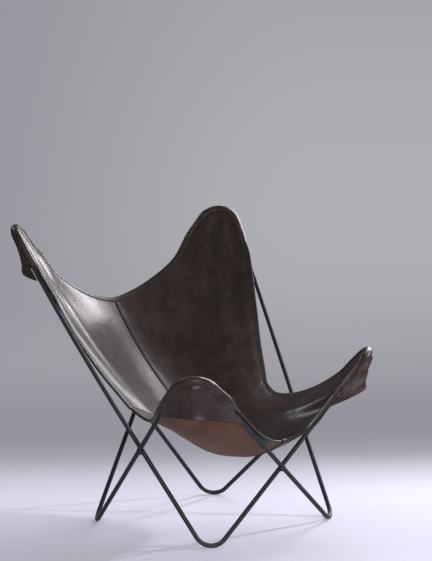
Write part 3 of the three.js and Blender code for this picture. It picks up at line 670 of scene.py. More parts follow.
class Sling:
    """The whole sling as one grid, from the sitter's right to left and from front to back, and its free
    edge as one closed row of stations that starts at the middle of the front."""

    def __init__(self, sizes, sling):
        self.lift = Lift(sizes, sling)
        self.paths = both_paths(sizes)
        left, high_left, low_left = half_grid(sizes, sling, 1, self.paths, self.lift)
        right, high_right, low_right = half_grid(sizes, sling, -1, self.paths, self.lift)
        self.grid = np.concatenate([right[:0:-1], left], axis=0)
        normals = grid_normals(self.grid)
        self.normals = normals if normals[PANEL_CELLS, PANEL_CELLS, 2] > 0 else -normals
        self.peaks = {
            "front_left": low_left,
            "back_left": high_left,
            "back_right": high_right,
            "front_right": low_right,
        }
        self.edge = self.round_the_edge(self.grid)
        self.edge_normals = self.normals_round_the_edge()
        tangents = unit(np.roll(self.edge, -1, axis=0) - np.roll(self.edge, 1, axis=0))
        out = unit(np.cross(tangents, self.edge_normals))
        away = self.edge - self.edge.mean(axis=0)
        self.edge_out = out if np.median(dot(out, away)) > 0 else -out

    @staticmethod
    def round_the_edge(grid):
        """The grid's border as a closed row, counter-clockwise from above."""
        middle = PANEL_CELLS
        front = grid[middle:-1, 0]
        left = grid[-1, :-1]
        back = grid[:0:-1, -1]
        right = grid[0, :0:-1]
        rest = grid[:middle, 0]
        return np.concatenate([front, left, back, right, rest])

    def normals_round_the_edge(self):
        """Normals of the border, turned to the peak's own normal within its pocket."""
        normals = self.round_the_edge(self.normals)
        for name, peak in self.peaks.items():
            for leg in ("end", "side"):
                index, distance = self.from_tip(name, leg)
                share = smooth((peak.depth[leg] - distance) / (TURN_SHARE * peak.depth[leg]))[:, None]
                normals[index] = unit(normals[index] * (1 - share) + peak.normal * share)
        return normals

    def from_tip(self, name, leg):
        """Stations from a tip along one leg to the middle of that edge, and their distances."""
        is_right_hand = name in ("back_right", "front_left")
        step = -1 if (leg == "side") != is_right_hand else 1
        index = (TIPS[name] * PANEL_CELLS + step * np.arange(PANEL_CELLS + 1)) % len(self.edge)
        return index, travelled(self.edge[index])

    def rim_leg(self, name, leg):
        """Stations of a pocket's rim along one leg, from the tip."""
        index, distance = self.from_tip(name, leg)
        return index[distance <= RIM_SHARE * self.peaks[name].depth[leg]]

    def rim_stations(self, name):
        """Stations of the rim of a pocket, from its end on the open edge to its end on the side."""
        return np.concatenate([self.rim_leg(name, "end")[:0:-1], self.rim_leg(name, "side")])

    def panel(self, is_back, is_left):
        """Grid and normals of one of the four panels."""
        across = slice(PANEL_CELLS, None) if is_left else slice(None, PANEL_CELLS + 1)
        along = slice(PANEL_CELLS, None) if is_back else slice(None, PANEL_CELLS + 1)
        return self.grid[across, along], self.normals[across, along]


# Meshes from arrays


def new_piece(name, points, faces, material_indices=None):
    """A smooth-shaded object from an array of points and rows of corner numbers. It is turned right
    side out where its volume comes out negative."""
    points = np.asarray(points, float).reshape(-1, 3)
    middle = points.mean(axis=0)
    volume = 0.0
    for rows in faces:
        corners = points[rows] - middle
        fans = np.cross(corners[:, 1:-1], corners[:, 2:])
        volume += float(np.sum(dot(fans, corners[:, :1])))
    if volume < 0:
        faces = [rows[:, ::-1] for rows in faces]
    mesh = bpy.data.meshes.new(name)
    mesh.from_pydata(points.tolist(), [], [row for rows in faces for row in rows.tolist()])
    mesh.shade_smooth()
    if material_indices is not None:
        mesh.polygons.foreach_set("material_index", material_indices)
    mesh.update()
    piece = bpy.data.objects.new(name, mesh)
    bpy.context.scene.collection.objects.link(piece)
    return piece


def quads(rows, columns, closes_rows=False, closes_columns=False):
    """Corner numbers of the cells of a grid whose last row or column may join its first."""
    i = np.arange(rows if closes_rows else rows - 1)[:, None]
    j = np.arange(columns if closes_columns else columns - 1)[None, :]
    right = (j + 1) % columns
    below = (i + 1) % rows
    cells = [i * columns + j, below * columns + j, below * columns + right, i * columns + right]
    return np.stack(np.broadcast_arrays(*cells), axis=-1).reshape(-1, 4)


def sheet_piece(name, grid, normals, thickness):
    """A sheet about a grid: the grid moved half the thickness each way along the normals, closed round
    the border. Its faces use the first material, and those of the lower face the second."""
    rows, columns = grid.shape[:2]
    upper = grid + normals * thickness / 2
    lower = grid - normals * thickness / 2
    cells = quads(rows, columns)
    count = rows * columns
    number = np.arange(count).reshape(rows, columns)
    border = np.concatenate([number[0, :-1], number[:-1, -1], number[-1, :0:-1], number[:0:-1, 0]])
    following = np.roll(border, -1)
    wall = np.stack([border, following, following + count, border + count], axis=-1)
    points = np.concatenate([upper.reshape(-1, 3), lower.reshape(-1, 3)])
    indices = np.zeros(2 * len(cells) + len(wall), int)
    indices[len(cells) : 2 * len(cells)] = 1
    return new_piece(name, points, [cells, cells[:, ::-1] + count, wall], indices)


def skin_piece(name, sections, is_ring=False):
    """A skin over closed sections, an array of sections by points, closed into a ring or capped."""
    count, sides = sections.shape[:2]
    faces = [quads(count, sides, closes_rows=is_ring, closes_columns=True)]
    if not is_ring:
        first = np.arange(sides)
        faces += [first[None, :], ((count - 1) * sides + first[::-1])[None, :]]
    return new_piece(name, sections.reshape(-1, 3), faces)


def closed_tube(name, path, radius, sides):
    """A ring of round tube along a closed path, with sections square to it, flat where it would reach
    below the floor: centre + radius (cos a across + sin a up)."""
    tangents = unit(np.roll(path, -1, axis=0) - np.roll(path, 1, axis=0))
    outward = path - path.mean(axis=0)
    across = unit(outward - dot(outward, tangents)[:, None] * tangents)
    up = np.cross(tangents, across)
    angle = round_angles(sides)[None, :, None]
    sections = path[:, None] + radius * (np.cos(angle) * across[:, None] + np.sin(angle) * up[:, None])
    sections[..., 2] = np.maximum(sections[..., 2], 0)
    return skin_piece(name, sections, is_ring=True)


def add_attribute(piece, name, values):
    """Stores one number for each point of a piece, for its material."""
    attribute = piece.data.attributes.new(name, "FLOAT", "POINT")
    attribute.data.foreach_set("value", np.asarray(values, np.float32).ravel())


def finish_piece(piece, materials, slot, *nodes):
    """Gives a piece its materials and its body, and hides the CAD parts that it stands for. Its slot is not
    used.
    """
    for material in materials:
        piece.data.materials.append(material)
    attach(piece, "root")
    if nodes:
        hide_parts(*nodes)


def even_to_edge(piece, distance):
    """Puts all of a piece at one distance from an edge."""
    add_attribute(piece, "to_edge", np.full(len(piece.data.vertices), distance))


def add_trim(name, sections, sling, material, slot, *nodes):
    """A narrow piece over closed sections, all of it as far from an edge as a lap is wide."""
    piece = skin_piece(name, sections)
    even_to_edge(piece, sling.lap_width)
    finish_piece(piece, [material], slot, *nodes)


# Materials


class Wire:
    """A value that varies over a surface. Arithmetic on it adds Math nodes to its material."""

    def __init__(self, finish, socket):
        self.finish = finish
        self.socket = socket

    def math(self, operation, *values):
        """The outcome of one Math node."""
        return self.finish.node("ShaderNodeMath", {"operation": operation}, dict(enumerate(values)))

    def __add__(self, other):
        return self.math("ADD", self, other)

    def __sub__(self, other):
        return self.math("SUBTRACT", self, other)

    def __rsub__(self, other):
        return self.math("SUBTRACT", other, self)

    def __mul__(self, other):
        return self.math("MULTIPLY", self, other)

    __radd__ = __add__
    __rmul__ = __mul__


class Finish:
    """A material with one shader, and methods that add nodes to it."""

    def __init__(self, name):
        material = bpy.data.materials.new(name)
        material.use_nodes = True
        self.tree = material.node_tree
        self.shader = self.tree.nodes["Principled BSDF"]

    def node(self, kind, settings=None, inputs=None, output=0):
        """Adds a node: its settings first, then the values or links of its sockets. Returns one of its
        outputs."""
        node = self.tree.nodes.new(kind)
        for name, value in (settings or {}).items():
            setattr(node, name, value)
        for name, value in (inputs or {}).items():
            self.feed(node.inputs[name], value)
        return Wire(self, node.outputs[output])

    def feed(self, socket, value):
        """Links a wire to a socket, or sets the socket's own value."""
        if isinstance(value, Wire):
            self.tree.links.new(value.socket, socket)
        else:
            socket.default_value = value

    def set(self, **inputs):
        """Feeds the shader: base_color stands for Base Color, and so on."""
        for name, value in inputs.items():
            self.feed(self.shader.inputs[name.replace("_", " ").title().replace("Ior", "IOR")], value)

    def coordinates(self, stretch=(1, 1, 1), turn=(0, 0, 0)):
        """Object coordinates, stretched and turned."""
        where = self.node("ShaderNodeTexCoord", output="Object")
        return self.node("ShaderNodeMapping", inputs={"Vector": where, "Scale": stretch, "Rotation": turn})

    def noise(self, where, scale, detail, roughness=0.5, distortion=0.0):
        """Cloudy noise, with its scale in clouds to the metre."""
        inputs = {"Vector": where, "Scale": scale, "Detail": detail}
        inputs.update({"Roughness": roughness, "Distortion": distortion})
        return self.node("ShaderNodeTexNoise", inputs=inputs)

    def cells(self, where, scale, feature="F1"):
        """Distance from the middle or the border of the nearest of random cells."""
        return self.node("ShaderNodeTexVoronoi", {"feature": feature}, {"Vector": where, "Scale": scale})

    def step(self, value, low, high):
        """Runs smoothly from 0 at low to 1 at high."""
        inputs = {"Value": value, "From Min": low, "From Max": high}
        return self.node("ShaderNodeMapRange", {"interpolation_type": "SMOOTHSTEP"}, inputs)

    def mix(self, share, first, second):
        """A colour between two colours."""
        return self.node("ShaderNodeMix", {"data_type": "RGBA"}, {0: share, 6: first, 7: second}, output=2)

    def attribute(self, name):
        """The number that a piece stores at each of its points."""
        return self.node("ShaderNodeAttribute", {"attribute_name": name}, output="Fac")

    def bump(self, height, distance, strength, normal=None):
        """A normal tilted by a height, and by another relief where that is given."""
        inputs = {"Height": height, "Distance": distance, "Strength": strength}
        if normal is not None:
            inputs["Normal"] = normal
        return self.node("ShaderNodeBump", inputs=inputs, output="Normal")


def opaque(rgb, share=1.0):
    """A colour with its alpha, made lighter or darker by a share."""
    return (*(min(value * share, 1.0) for value in rgb), 1.0)


def paint_steel(finish, steel, bare):
    """Satin black paint: faint orange peel, dust, and rubbed places near the floor."""
    where = finish.coordinates()
    peel = finish.noise(where, 900.0, 2.0)
    dust = finish.noise(where, 38.0, 4.0, 0.6)
    scratches = finish.noise(finish.coordinates((1, 1, 0.2)), 420.0, 2.0)
    height = finish.node("ShaderNodeSeparateXYZ", inputs={0: where}, output="Z")
    rubbed = (1 - finish.step(height, 0.0, 0.03)) * finish.step(scratches + dust * 0.4, 0.66, 0.8)
    painted = finish.mix(finish.step(dust, 0.4, 0.75) * 0.5, opaque(steel), opaque(steel, 2.0))
    finish.set(
        base_color=finish.mix(rubbed, painted, opaque(bare)),
        roughness=0.42 + dust * 0.22,
        metallic=rubbed * 0.8,
        coat_weight=0.05,
        coat_roughness=0.3,
        normal=finish.bump(peel, 0.0001, 0.4),
    )


def paint_weld(finish, steel):
    """The same paint over the ripples of a weld bead, darker in its pits than around them: painted shade in
    the pits.
    """
    ripples = finish.noise(finish.coordinates((1, 1, 3)), 260.0, 2.0, 0.5, 1.2)
    pits = finish.cells(finish.coordinates(), 520.0)
    # Painted shade: the pits that the bump sinks are drawn darker
    shade = finish.step(pits, 0.0, 0.5)
    finish.set(
        base_color=finish.mix(shade, opaque(steel, 0.7), opaque(steel, 1.6)),
        roughness=0.38 + ripples * 0.25,
        metallic=0.1,
        normal=finish.bump(ripples + shade * 0.3, 0.0008, 0.9),
    )


def paint_leather(finish, dark, light, dullness):
    """Grain side of the leather: pebbled grain, fine creases drawn darker as painted shade, cloudy wear and
    darker edges. The dullness raises its roughness."""
    where = finish.coordinates()
    clouds = finish.noise(where, 7.0, 4.0, 0.62, 0.6)
    mottle = finish.noise(where, 46.0, 3.0, 0.55)
    streaks = finish.noise(finish.coordinates((1, 1, 0.22)), 34.0, 2.0, 0.55, 0.8)
    grain = finish.cells(where, 640.0, "SMOOTH_F1")
    network = finish.cells(finish.coordinates((1, 1, 0.7)), 260.0, "DISTANCE_TO_EDGE")
    scuffs = finish.noise(finish.coordinates((0.3, 1, 1), (0.4, 0.3, 0.9)), 240.0, 2.0, 0.5, 2.0)
    fine_lines = 1 - finish.step(network, 0.0, 0.06)
    wear = finish.step(clouds * 0.55 + mottle * 0.25 + streaks * 0.35, 0.42, 0.74)
    scuffed = finish.step(scuffs, 0.66, 0.74) * 0.3
    base = finish.mix(wear * 0.9, opaque(dark), opaque(light))
    # Painted shade: the fine crease lines that the bump sinks are drawn darker
    crease_shaded = finish.mix(fine_lines * 0.3, base, opaque(dark, 0.6))
    edge = 1 - finish.step(finish.attribute("to_edge"), 0.004, 0.016)
    relief = finish.bump(grain - fine_lines * 0.2, 0.00002, 0.1)
    finish.set(
        base_color=finish.mix(edge * 0.45 + scuffed * 0.2, crease_shaded, opaque(dark, 0.75)),
        roughness=0.2 + dullness + mottle * 0.08 + streaks * 0.26 + scuffed * 0.3 - wear * 0.05,
        coat_weight=0.05,
        coat_roughness=0.3,
        normal=finish.bump(streaks + mottle * 0.08, 0.0034, 0.35, relief),
    )


def paint_flesh_side(finish, flesh):
    """Flesh side of the leather: matt, napped and cloudy."""
    where = finish.coordinates()
    clouds = finish.noise(where, 9.0, 4.0, 0.6, 0.4)
    nap = finish.noise(where, 520.0, 4.0, 0.7)
    streaks = finish.noise(finish.coordinates((1, 0.2, 1)), 60.0, 3.0, 0.6)
    shade = finish.step(clouds * 0.6 + streaks * 0.4, 0.32, 0.68)
    finish.set(
        base_color=finish.mix(shade, opaque(flesh, 0.72), opaque(flesh, 1.25)),
        roughness=0.66 + nap * 0.2,
        sheen_weight=0.04,
        sheen_roughness=0.5,
        specular_ior_level=0.25,
        normal=finish.bump(nap, 0.0005, 0.6),
    )


def paint_thread(finish, thread):
    """Waxed thread: two plies twisted round each other."""
    where = finish.coordinates((1, 1, 1), (0.6, 0.5, 0.8))
    bands = {"Vector": where, "Scale": 420.0}
    twist = finish.node("ShaderNodeTexWave", {"wave_type": "BANDS"}, bands, output=1)
    soil = finish.noise(where, 90.0, 3.0)
    tone = finish.mix(finish.step(soil, 0.35, 0.7), opaque(thread, 0.55), opaque(thread, 1.2))
    finish.set(
        base_color=finish.mix(twist * 0.4, tone, opaque(thread, 0.4)),
        roughness=0.5 + soil * 0.15,
        normal=finish.bump(twist, 0.0002, 0.6),
    )


def paint_backdrop(finish, stage):
    """Matt paper, pale on the floor. To the camera the wall glows with painted light whatever lamp stands
    near it, graded by painted shade into a darker cove, a darker upper wall and a darker left side. In
    reflections it glows darker still, as a painted reflection. A share of that glow also lies on the floor,
    painted light that lightens the chair's shadow there. The sheet is clear when seen from behind."""
    along = finish.attribute("along")
    beside = finish.attribute("beside")
    camera_ray = finish.node("ShaderNodeLightPath", output="Is Camera Ray")
    glossy_ray = finish.node("ShaderNodeLightPath", output="Is Glossy Ray")
    behind = finish.node("ShaderNodeNewGeometry", output="Backfacing")
    # Painted shade: the glow's grey darkens from the pale floor into the cove, lightens up the wall and
    # darkens again higher up
    near = finish.mix(finish.step(along, *FLOOR_TO_COVE), opaque(stage.floor), opaque(stage.cove_shade))
    wall = finish.mix(finish.step(along, *COVE_TO_WALL), near, opaque(stage.backdrop))
    upper = finish.mix(finish.step(along, *WALL_TO_UPPER), wall, opaque(stage.upper))
    # Painted shade: the glow darkens towards the cove's grey on the left side of the wall
    left_side = 1 - finish.step(beside, *DIM_BESIDE)
    dimmed = finish.mix(left_side * finish.step(along, *DIM_ALONG), upper, opaque(stage.cove_shade))
    finish.set(base_color=opaque(stage.floor), roughness=0.9)
    paper = Wire(finish, finish.shader.outputs[0])
    # Painted reflection: glossy rays see the glow as a dim copy of the cove's grey
    shown = finish.mix(glossy_ray, dimmed, opaque(stage.cove_shade, REFLECTED_SHADE))
    glow = finish.node("ShaderNodeEmission", inputs={"Color": shown})
    # Painted light: part of the glow covers the floor too, lightening the chair's shadow there, and it
    # takes over beyond the chair
    painted_glow_along = FLOOR_GLOW + finish.step(along, *GLOW_STARTS) * (1 - FLOOR_GLOW)
    painted_glow_share = (camera_ray + glossy_ray) * painted_glow_along
    seen = finish.node("ShaderNodeMixShader", inputs={0: painted_glow_share, 1: paper, 2: glow})
    clear = finish.node("ShaderNodeBsdfTransparent")
    mixed = finish.node("ShaderNodeMixShader", inputs={0: behind, 1: seen, 2: clear})
    finish.feed(finish.tree.nodes["Material Output"].inputs["Surface"], mixed)


def once(name, paint, *settings):
    """The material of that name, painted on its first use."""
    if name not in bpy.data.materials:
        paint(Finish(name), *settings)
    return bpy.data.materials[name]


def top_leather(finishes):
    """The panels' grain side."""
    return once("sling_leather", paint_leather, finishes.leather, finishes.burnished, 0)


def pocket_leather(finishes):
    """The warmer, duller grain side of the pockets."""
    return once("pocket_grain_leather", paint_leather, finishes.pocket, finishes.rubbed, POCKET_DULLNESS)


def edge_leather(finishes):
    """The darker, dullest grain side of the bindings."""
    dark = tuple(value * EDGE_SHADE for value in finishes.leather)
    return once("edge_leather", paint_leather, dark, finishes.leather, EDGE_DULLNESS)


def underside_leather(finishes):
    """The flesh side of all the leather."""
    return once("leather_flesh_side", paint_flesh_side, finishes.flesh)


# Shared by several operators


def the_sling(context):
    """The sling's surface for the sizes in the panel."""
    return Sling(context.scene.chair_frame, context.scene.chair_sling)


def stitch_piece(name, path, normals, sling):
    """A row of stitches on a path: at every pitch one spindle along the path, half sunk in the leather.
    Its radius is the thread's times the root of 1 - s2 for s from end to end."""
    along = travelled(path)
    places = np.arange(sling.stitch_pitch / 2, along[-1], sling.stitch_pitch)
    centre = walk(path, places)
    step = sling.stitch_pitch / 4
    tangent = unit(walk(path, places + step) - walk(path, places - step))
    up = unit(between(places, along, normals))
    across = unit(np.cross(tangent, up))
    s = np.linspace(-STITCH_END, STITCH_END, THREAD_RINGS)[None, :, None, None]
    angle = round_angles(THREAD_SIDES)[None, None, :, None]
    radius = sling.thread / 2 * np.sqrt(1 - s**2)
    spread = across[:, None, None] * np.cos(angle) + up[:, None, None] * np.sin(angle)
    points = centre[:, None, None] + tangent[:, None, None] * s * sling.stitch_length / 2 + spread * radius
    cells = quads(THREAD_RINGS, THREAD_SIDES, closes_columns=True)
    first = np.arange(THREAD_SIDES)[None, :]
    last = (THREAD_RINGS - 1) * THREAD_SIDES + first[:, ::-1]
    offsets = np.arange(len(centre))[:, None, None] * THREAD_RINGS * THREAD_SIDES
    faces = [(offsets + cells).reshape(-1, 4), (offsets + first).reshape(-1, THREAD_SIDES)]
    faces.append((offsets + last).reshape(-1, THREAD_SIDES))
    return new_piece(name, points, faces)


def add_stitches(context, name, path, normals):
    """A row of stitches in their thread."""
    piece = stitch_piece(name, path, normals, context.scene.chair_sling)
    thread = once("waxed_thread", paint_thread, context.scene.chair_finishes.thread)
    finish_piece(piece, [thread], "seam_strip")


def beside_edge(lines, normals, distance):
    """Points at a distance from a seam or an edge, and their normals. Each line starts on it."""
    steps = np.linalg.norm(np.diff(lines, axis=1), axis=2)
    along = np.concatenate([np.zeros((len(lines), 1)), np.cumsum(steps, axis=1)], axis=1)
    cell = np.clip((along < distance).sum(axis=1) - 1, 0, lines.shape[1] - 2)
    row = np.arange(len(lines))
    share = ((distance - along[row, cell]) / steps[row, cell])[:, None]
    points = lines[row, cell] * (1 - share) + lines[row, cell + 1] * share
    return points, unit(normals[row, cell] * (1 - share) + normals[row, cell + 1] * share)


class CHAIR_OT_rods(Operator):
    """Bend the two rod loops of the frame"""

    bl_idname = "chair.rods"
    bl_label = "Rod loops"
    bl_options = {"REGISTER", "UNDO"}

    def execute(self, context):
        sizes = context.scene.chair_frame
        finishes = context.scene.chair_finishes
        material = once("satin_black_paint", paint_steel, finishes.steel, finishes.bare_steel)
        for name, path in zip(("outer", "inner"), both_paths(sizes)):
            piece = closed_tube(f"{name}_loop", path, sizes.rod_diameter / 2, ROD_SIDES)
            finish_piece(piece, [material], "steel", f"{name}_front_rod", f"{name}_rear_rod")
        return {"FINISHED"}


class CHAIR_OT_welds(Operator):
    """Add the weld beads where the loops cross"""

    bl_idname = "chair.welds"
    bl_label = "Welds"
    bl_options = {"REGISTER", "UNDO"}

    def execute(self, context):
        """Each bead is a spindle along the line that halves the two rods' sharp angle. Its radius is
        the weld's times the root of 1 - s2 for s from end to end, with a low ripple round it."""
        sizes = context.scene.chair_frame
        material = once("painted_weld", paint_weld, context.scene.chair_finishes.steel)
        turn = round_angles(WELD_SIDES)[None, :, None]
        s = np.linspace(-WELD_END, WELD_END, WELD_SIDES // 2)[:, None, None]
        ripple = 1 + WELD_RIPPLE * np.sin(WELD_RIPPLES_ROUND * turn + WELD_RIPPLES_ALONG * s)
        radius = sizes.weld_radius * np.sqrt(1 - s**2) * ripple
        names = ("left", "rear", "right", "front")
        for name, (first, second) in zip(names, crossings(*both_paths(sizes))):
            low, high = (np.array(corner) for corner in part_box(f"{name}_weld"))
            lengthwise = unit(first + second * np.sign(first @ second))
            normal = unit(np.cross(first, second))
            across = np.cross(normal, lengthwise)
            ring = across * np.cos(turn) * radius + normal * np.sin(turn) * radius
            sections = (low + high) / 2 + lengthwise * s * sizes.weld_radius * WELD_STRETCH + ring
            finish_piece(skin_piece(f"{name}_weld_bead", sections), [material], "steel", f"{name}_weld")
        return {"FINISHED"}


class CHAIR_OT_panels(Operator):
    """Hang the four leather panels"""

    bl_idname = "chair.panels"
    bl_label = "Leather panels"
    bl_options = {"REGISTER", "UNDO"}

    def execute(self, context):
        sling = context.scene.chair_sling
        finishes = context.scene.chair_finishes
        surface = the_sling(context)
        materials = [top_leather(finishes), underside_leather(finishes)]
        for row, is_back in (("seat", False), ("back", True)):
            for side, is_left in (("left", True), ("right", False)):
                name = f"{row}_panel_{side}"
                grid, normals = surface.panel(is_back, is_left)
                piece = sheet_piece(f"{name}_leather", grid, normals, sling.leather)
                add_attribute(piece, "to_edge", np.tile(self.to_edge(grid, is_back, is_left).ravel(), 2))
                finish_piece(piece, materials, "leather", name)
                area_of(grid)
        return {"FINISHED"}

    @staticmethod
    def to_edge(grid, is_back, is_left):
        """Distance of each point from the nearer of the panel's two free edges, along the grid."""
        from_free_corner = tuple(slice(None, None, -1 if flips else 1) for flips in (is_left, is_back))
        turned = grid[from_free_corner]
        from_side = np.zeros(grid.shape[:2])
        from_open = np.zeros(grid.shape[:2])
        from_side[1:] = np.cumsum(np.linalg.norm(np.diff(turned, axis=0), axis=2), axis=0)
        from_open[:, 1:] = np.cumsum(np.linalg.norm(np.diff(turned, axis=1), axis=2), axis=1)
        return np.minimum(from_side, from_open)[from_free_corner]


class CHAIR_OT_pockets(Operator):
    """Sew the four pockets that hold the peaks"""

    bl_idname = "chair.pockets"
    bl_label = "Pockets"
    bl_options = {"REGISTER", "UNDO"}

    def execute(self, context):
        sling = context.scene.chair_sling
        finishes = context.scene.chair_finishes
        surface = the_sling(context)
        materials = [pocket_leather(finishes), underside_leather(finishes)]
        for name, peak in surface.peaks.items():
            down = -peak.normal
            radius = surface.lift.roll_radius(surface.edge, peak.normal, surface.paths, sling.binding)
            seam = surface.edge + down * 2 * radius[:, None]
            grid, normals = self.flap(surface, name, peak, seam, down)
            piece = sheet_piece(f"{name}_pocket_flap_leather", grid, normals, sling.leather)
            even_to_edge(piece, sling.lap_width * 2)
            finish_piece(piece, materials, "pocket_leather", f"{name}_pocket_flap")
            area = area_of(grid)
            self.add_rim(context, surface, name, radius, (grid, normals), sling, finishes)
            self.add_hem(context, name, grid, normals, sling, finishes)
        return {"FINISHED"}

    @staticmethod
    def flap(surface, name, peak, seam, down):
        """Rows between the two legs, down to the free edge. The middle of a row stands off by a
        parabola times a power of the depth, and is drawn up by the same parabola times depth squared."""
        depth = np.linspace(FLAP_START_SHARE, 1, FLAP_ROWS + 1)
        from_row, to_row = (
            walk(seam[surface.from_tip(name, leg)[0]], peak.depth[leg] * depth)[:, None]
            for leg in ("end", "side")
        )
        across = np.linspace(0, 1, FLAP_CELLS + 1)[None, :, None]
        arch = 4 * across * (1 - across)
        up = unit(peak.tip - peak.inside)
        depth = depth[:, None, None]
        grid = from_row * (1 - across) + to_row * across
        grid = grid + down * arch * peak.stand_off * depth**peak.curl + up * arch * peak.rise * depth**2
        inner = surface.lift.raised(grid, down, surface.paths)
        grid = grid + (inner - grid) * smooth(FLAP_LEAVES * across * (1 - across))
        normals = grid_normals(grid)
        return grid, normals if dot(normals[0, FLAP_CELLS // 2], down) > 0 else -normals

    @staticmethod
    def add_rim(context, surface, name, radius, flap, sling, finishes):
        """The rolled rim: a lip over the panel, half a ring round the rod, and a lip over the flap."""
        index = surface.rim_stations(name)
        edge = surface.edge[index]
        out = surface.edge_out[index]
        up = surface.peaks[name].normal
        roll = radius[index][:, None]
        half = sling.leather / 2
        along = travelled(edge)
        full = smooth(np.minimum(along, along[-1] - along) / RIM_FADE)[:, None]
        bead = edge + out * sling.binding
        centre = bead + (edge - up * roll - bead) * full
        panel = surface.panel(name.startswith("back"), name.endswith("left"))
        insets = [out * width for width in np.linspace(1, LIP_END_SHARE, LIP_STEPS) * sling.lip_width]
        evening = sling.lip_width / 3
        upper = [settled(edge - inset, up, *panel, evening) for inset in insets]
        lower = []
        for inset in insets[::-1]:
            folded = settled(edge - up * 2 * roll - inset, -up, *flap, evening)
            flat = edge - inset - up * sling.touch_gap
            lower.append(flat + (folded - flat) * full)
        outer = half_ring(centre, sling.binding + (roll + half + sling.lap - sling.binding) * full, out, up)
        inner = half_ring(centre, half + (roll - 2 * half) * full, out, up)
        lid = up * (half + sling.lap)
        bed = up * (half + sling.touch_gap / 3)
        outside = [point + lid for point in upper] + outer + [point - lid for point in lower]
        inside = [point + bed for point in upper] + inner + [point - bed for point in lower]
        add_trim(
            f"{name}_pocket_rim_leather",
            np.stack(outside + inside[::-1], axis=1),
            sling,
            pocket_leather(finishes),
            "pocket_leather",
            f"{name}_pocket_rim",
        )
        normals = np.broadcast_to(up, edge.shape)
        add_stitches(context, f"{name}_rim_stitches", upper[1] + lid, normals)
        add_stitches(context, f"{name}_flap_stitches", lower[-2] - lid, -normals)

    @staticmethod
    def add_hem(context, name, grid, normals, sling, finishes):
        """The folded hem of the free edge, and its stitches."""
        half = sling.leather / 2
        out = unit(grid[-1] - grid[-2])
        hem = bead_sections(grid[-1], out, normals[-1], sling.hem, sling.lip_width, half + sling.lap / 4)
        add_trim(f"{name}_flap_hem", hem, sling, pocket_leather(finishes), "pocket_leather")
        lines, line_normals = (values[::-1].swapaxes(0, 1) for values in (grid, normals))
        row, up = beside_edge(lines, line_normals, HEM_STITCH_SHARE * sling.lip_width)
        add_stitches(context, f"{name}_hem_stitches", row + up * (half + sling.lap), up)


def bead_sections(edge, out, normals, radius, lip, half_lip):
    """Sections of a rolled edge: a round bead just outside the edge that tapers to a flat lip over the
    leather on its inner side."""
    angle = round_angles(BEAD_SIDES)[None, :, None]
    sine = np.sin(angle)
    reach = np.where(np.cos(angle) > 0, radius, radius + lip)
    taper = smooth(-np.cos(angle))
    # 1 above the leather, -1 below it and 0 at the end of the lip
    face = np.sign(sine) * (np.abs(sine) > SINE_OF_ZERO)
    rise = sine * radius * (1 - taper) + face * half_lip * taper
    centre = (edge + out * radius)[:, None]
    return centre + out[:, None] * np.cos(angle) * reach + normals[:, None] * rise


class CHAIR_OT_bindings(Operator):
    """Bind the four free edges between the pockets"""

    bl_idname = "chair.bindings"
    bl_label = "Edge bindings"
    bl_options = {"REGISTER", "UNDO"}

    def execute(self, context):
        sling = context.scene.chair_sling
        finishes = context.scene.chair_finishes
        surface = the_sling(context)
        count = len(surface.edge)
        spans = {
            "front": ("front_right", "end", "front_left", "end"),
            "left": ("front_left", "side", "back_left", "side"),
            "back": ("back_left", "end", "back_right", "end"),
            "right": ("back_right", "side", "front_right", "side"),
        }
        for name, (first, first_leg, last, last_leg) in spans.items():
            start = surface.rim_leg(first, first_leg)[-1] - RIM_OVERLAP
            end = surface.rim_leg(last, last_leg)[-1] + RIM_OVERLAP
            index = (start + np.arange((end - start) % count + 1)) % count
            edge, out, normals = surface.edge[index], surface.edge_out[index], surface.edge_normals[index]
            half_lip = sling.leather / 2 + sling.lap
            sections = bead_sections(edge, out, normals, sling.binding, sling.lip_width, half_lip)
            leather = edge_leather(finishes)
            add_trim(f"{name}_binding", sections, sling, leather, "binding", f"{name}_edge_binding")
            row = edge - out * sling.lip_width * BINDING_STITCH_SHARE + normals * half_lip
            add_stitches(context, f"{name}_binding_stitches", row, normals)
            if name == "front":
                self.add_tab(surface, sling, finishes)
        return {"FINISHED"}

    @staticmethod
    def add_tab(surface, sling, finishes):
        """The small tab folded over the front edge at the end of the middle seam: a U-shaped profile
        of two straight sides and half a circle, carried a few millimetres each way along the edge."""
        edge, out, up = surface.edge[0], surface.edge_out[0], surface.edge_normals[0]
        inner = sling.binding + sling.touch_gap
        back = out * (sling.lap_width + sling.lip_width)

        def u_profile(radius):
            """Back from the upper end of half a circle, round it, and back from its lower end."""
            arc = half_ring(edge + out * sling.binding, radius, out, up)
            return [arc[0] - back, *arc, arc[-1] - back]

        outline = np.array(u_profile(inner + sling.leather / 2) + u_profile(inner)[::-1])
        offsets = np.linspace(-0.5, 0.5, LIP_STEPS)[:, None, None] * sling.lap_width
        sections = outline + offsets * np.cross(up, out)
        add_trim("front_seam_tab", sections, sling, edge_leather(finishes), "binding")


